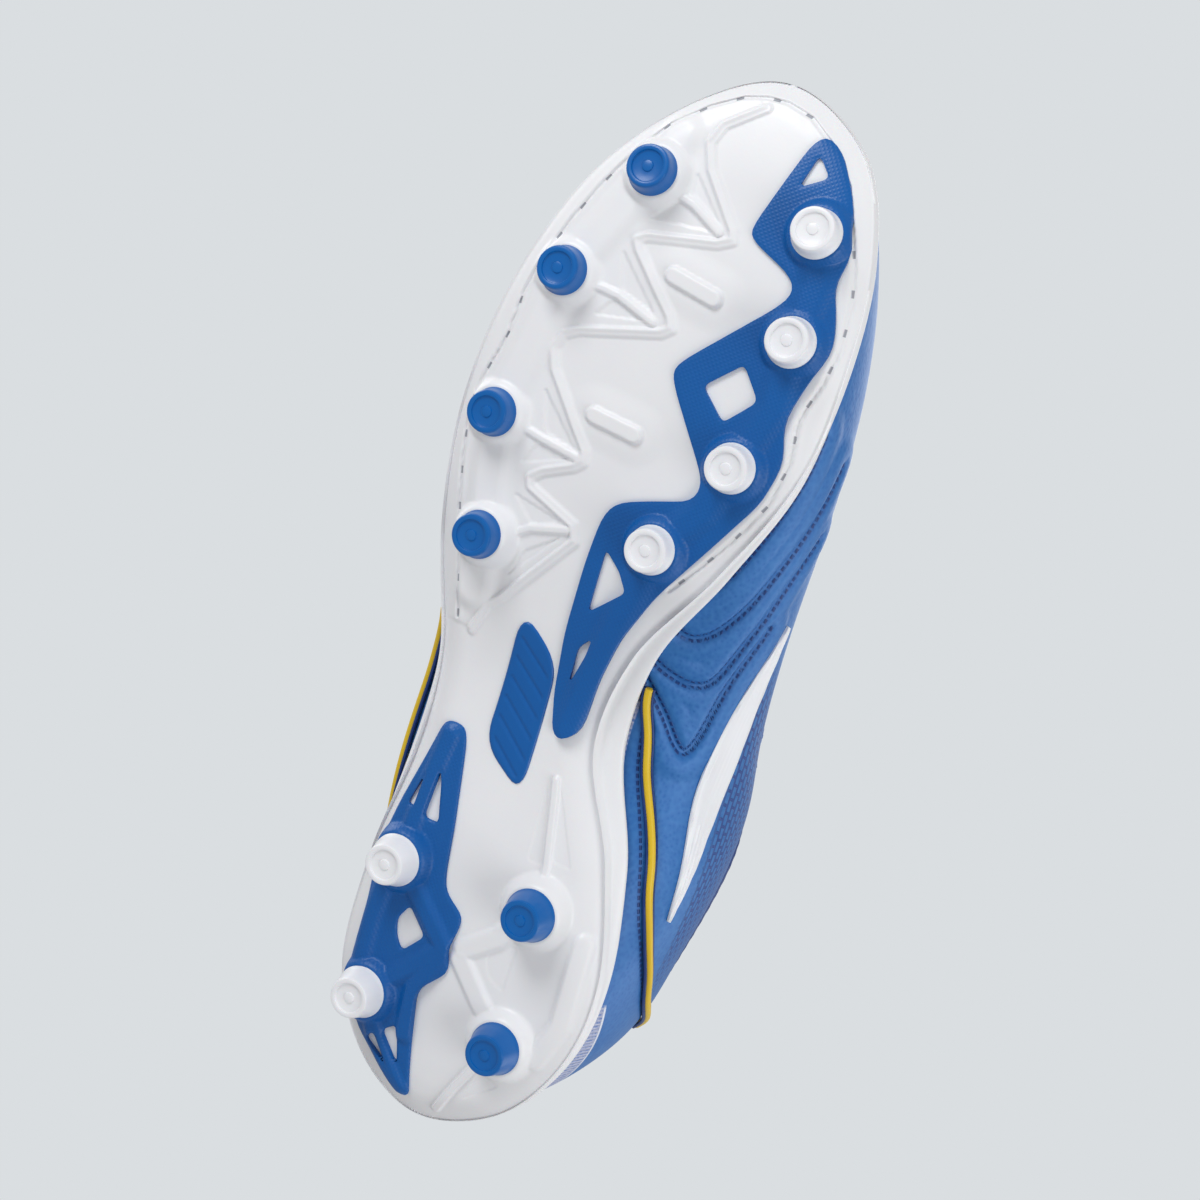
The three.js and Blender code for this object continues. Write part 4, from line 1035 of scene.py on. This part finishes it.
def eyelet(row, side, v=.93, lift=3.0):
    """Where a row passes over the medial or lateral eyestay, and the way that the eyestay faces."""
    u = np.array(13.55 + .73 * row if side else 8.6 - .64 * row)
    return on_upper(u, np.array(v), np.array(lift)), upper_normal(u, np.array(v))


stops, ups = [], []
for row in range(ROW_COUNT):
    start = row % 2
    p, n0 = eyelet(row, start)
    q, n1 = eyelet(row, 1 - start)
    mid = (p + q) / 2 + (0, 0, 1.8)
    stops += [p, p * .72 + mid * .28 + (0, 0, .5), mid, q * .72 + mid * .28 + (0, 0, .5), q]
    ups += [n0, (n0 + (0, 0, 1)) / 2, np.array([.2, 0, 1]), (n1 + (0, 0, 1)) / 2, n1]
    if row < ROW_COUNT - 1:
        r, n2 = eyelet(row + .5, 1 - start, .885, 3.1)
        stops.append(r)
        ups.append(n2)
stops, ups = np.array(stops), np.array(ups)
t = np.linspace(0, len(stops) - 1.001, 640)
braid, braid_up = spline(stops, t, closed=False), spline(ups, t, closed=False)
braid_up /= np.linalg.norm(braid_up, axis=1, keepdims=True)
plait = 1 + .05 * np.sin(np.arange(640) * 1.7)
finished(tube_mesh("braided_lace", braid, 2.5 * plait, LACE_YARN, 16, .36, BODY, braid_up),
         "lace_polyester", "lace")
EYELET_METAL = new_material("painted_brass_eyelet", Metallic=1.0, Roughness=.36)
place = node(EYELET_METAL, "TexCoord", {}, out="Object")
cloud = node(EYELET_METAL, "TexNoise", {"Vector": place, "Scale": 400.0})
tone = node(EYELET_METAL, "Mix", {0: cloud, 6: rgb("#24508F"), 7: rgb("#1C437D")}, out=2, data_type="RGBA")
feed(EYELET_METAL, Base_Color=tone)
for side in (0, 1):
    for row in range(ROW_COUNT):
        centre, facing = eyelet(row, side, .925, OVERLAY + 1.1)
        across = np.cross(facing, (1, 0, 0))
        across /= np.linalg.norm(across)
        along = np.cross(across, facing)
        w = np.linspace(0, 2 * np.pi, 25)[:-1, None]
        circle = centre + 2.5 * (np.cos(w) * across + np.sin(w) * along)
        finished(tube_mesh("eyelet_%d_%d" % (side, row), circle, .55, EYELET_METAL, 8, 1, BODY,
                           np.tile(facing, (24, 1)), closed=True), "navy_trim")


# ---------------------------------------------------------------- stage, light and camera
def studio():
    """A pale surround, brighter to look at than it is as a light."""
    world = bpy.data.worlds.new("pale surround")
    bpy.context.scene.world = world
    world.use_nodes = True
    tree = world.node_tree
    lit = tree.nodes["Background"]
    lit.inputs[0].default_value = rgb("#F6F6F7")
    lit.inputs[1].default_value = .5
    seen = tree.nodes.new("ShaderNodeBackground")
    seen.inputs[0].default_value = rgb("#DADEE1")
    path = tree.nodes.new("ShaderNodeLightPath")
    both = tree.nodes.new("ShaderNodeMixShader")
    tree.links.new(path.outputs["Is Camera Ray"], both.inputs[0])
    tree.links.new(lit.outputs[0], both.inputs[1])
    tree.links.new(seen.outputs[0], both.inputs[2])
    tree.links.new(both.outputs[0], tree.nodes["World Output"].inputs[0])


def lamp(name, place, target, size, power):
    """A round area lamp aimed at a point, with its size in metres and its power in watts."""
    light = bpy.data.lights.new(name, "AREA")
    light.shape = "DISK"
    light.size = size
    light.energy = power
    obj = bpy.data.objects.new(name, light)
    obj.location = place
    obj.rotation_euler = (Vector(target) - Vector(place)).to_track_quat("-Z", "Y").to_euler()
    bpy.context.scene.collection.objects.link(obj)


def camera(place, target, up, lens):
    """The scene's camera, aimed at a point with `up` towards the top of the frame."""
    data = bpy.data.cameras.new("camera")
    data.lens = lens
    data.sensor_width = 36
    obj = bpy.data.objects.new("camera", data)
    back = (Vector(place) - Vector(target)).normalized()
    right = Vector(up).cross(back).normalized()
    turn = Matrix((right, back.cross(right), back)).transposed()
    obj.matrix_world = Matrix.Translation(place) @ turn.to_4x4()
    bpy.context.scene.collection.objects.link(obj)
    bpy.context.scene.camera = obj


studio()
bpy.context.scene.view_settings.view_transform = "Standard"
# Two lamps light the sole from under the boot, two light its sides and one its top.
lamp("key_lamp", (.75, -.35, -.55), (0, 0, .03), .45, 5)
lamp("fill_lamp", (-.1, .95, -.45), (0, 0, .04), .7, 4)
lamp("side_lamp", (-.5, 1.0, .5), (0, 0, .05), .8, 2.6)
lamp("far_side_lamp", (.4, -1.1, .5), (0, 0, .05), .8, 3)
lamp("top_lamp", (.2, .2, 1.3), (0, 0, .05), .9, 3.2)
camera((.1108, .17145, -.462), (.0091, .00515, .012), (.9316, -.3557, .0751), 60.03)
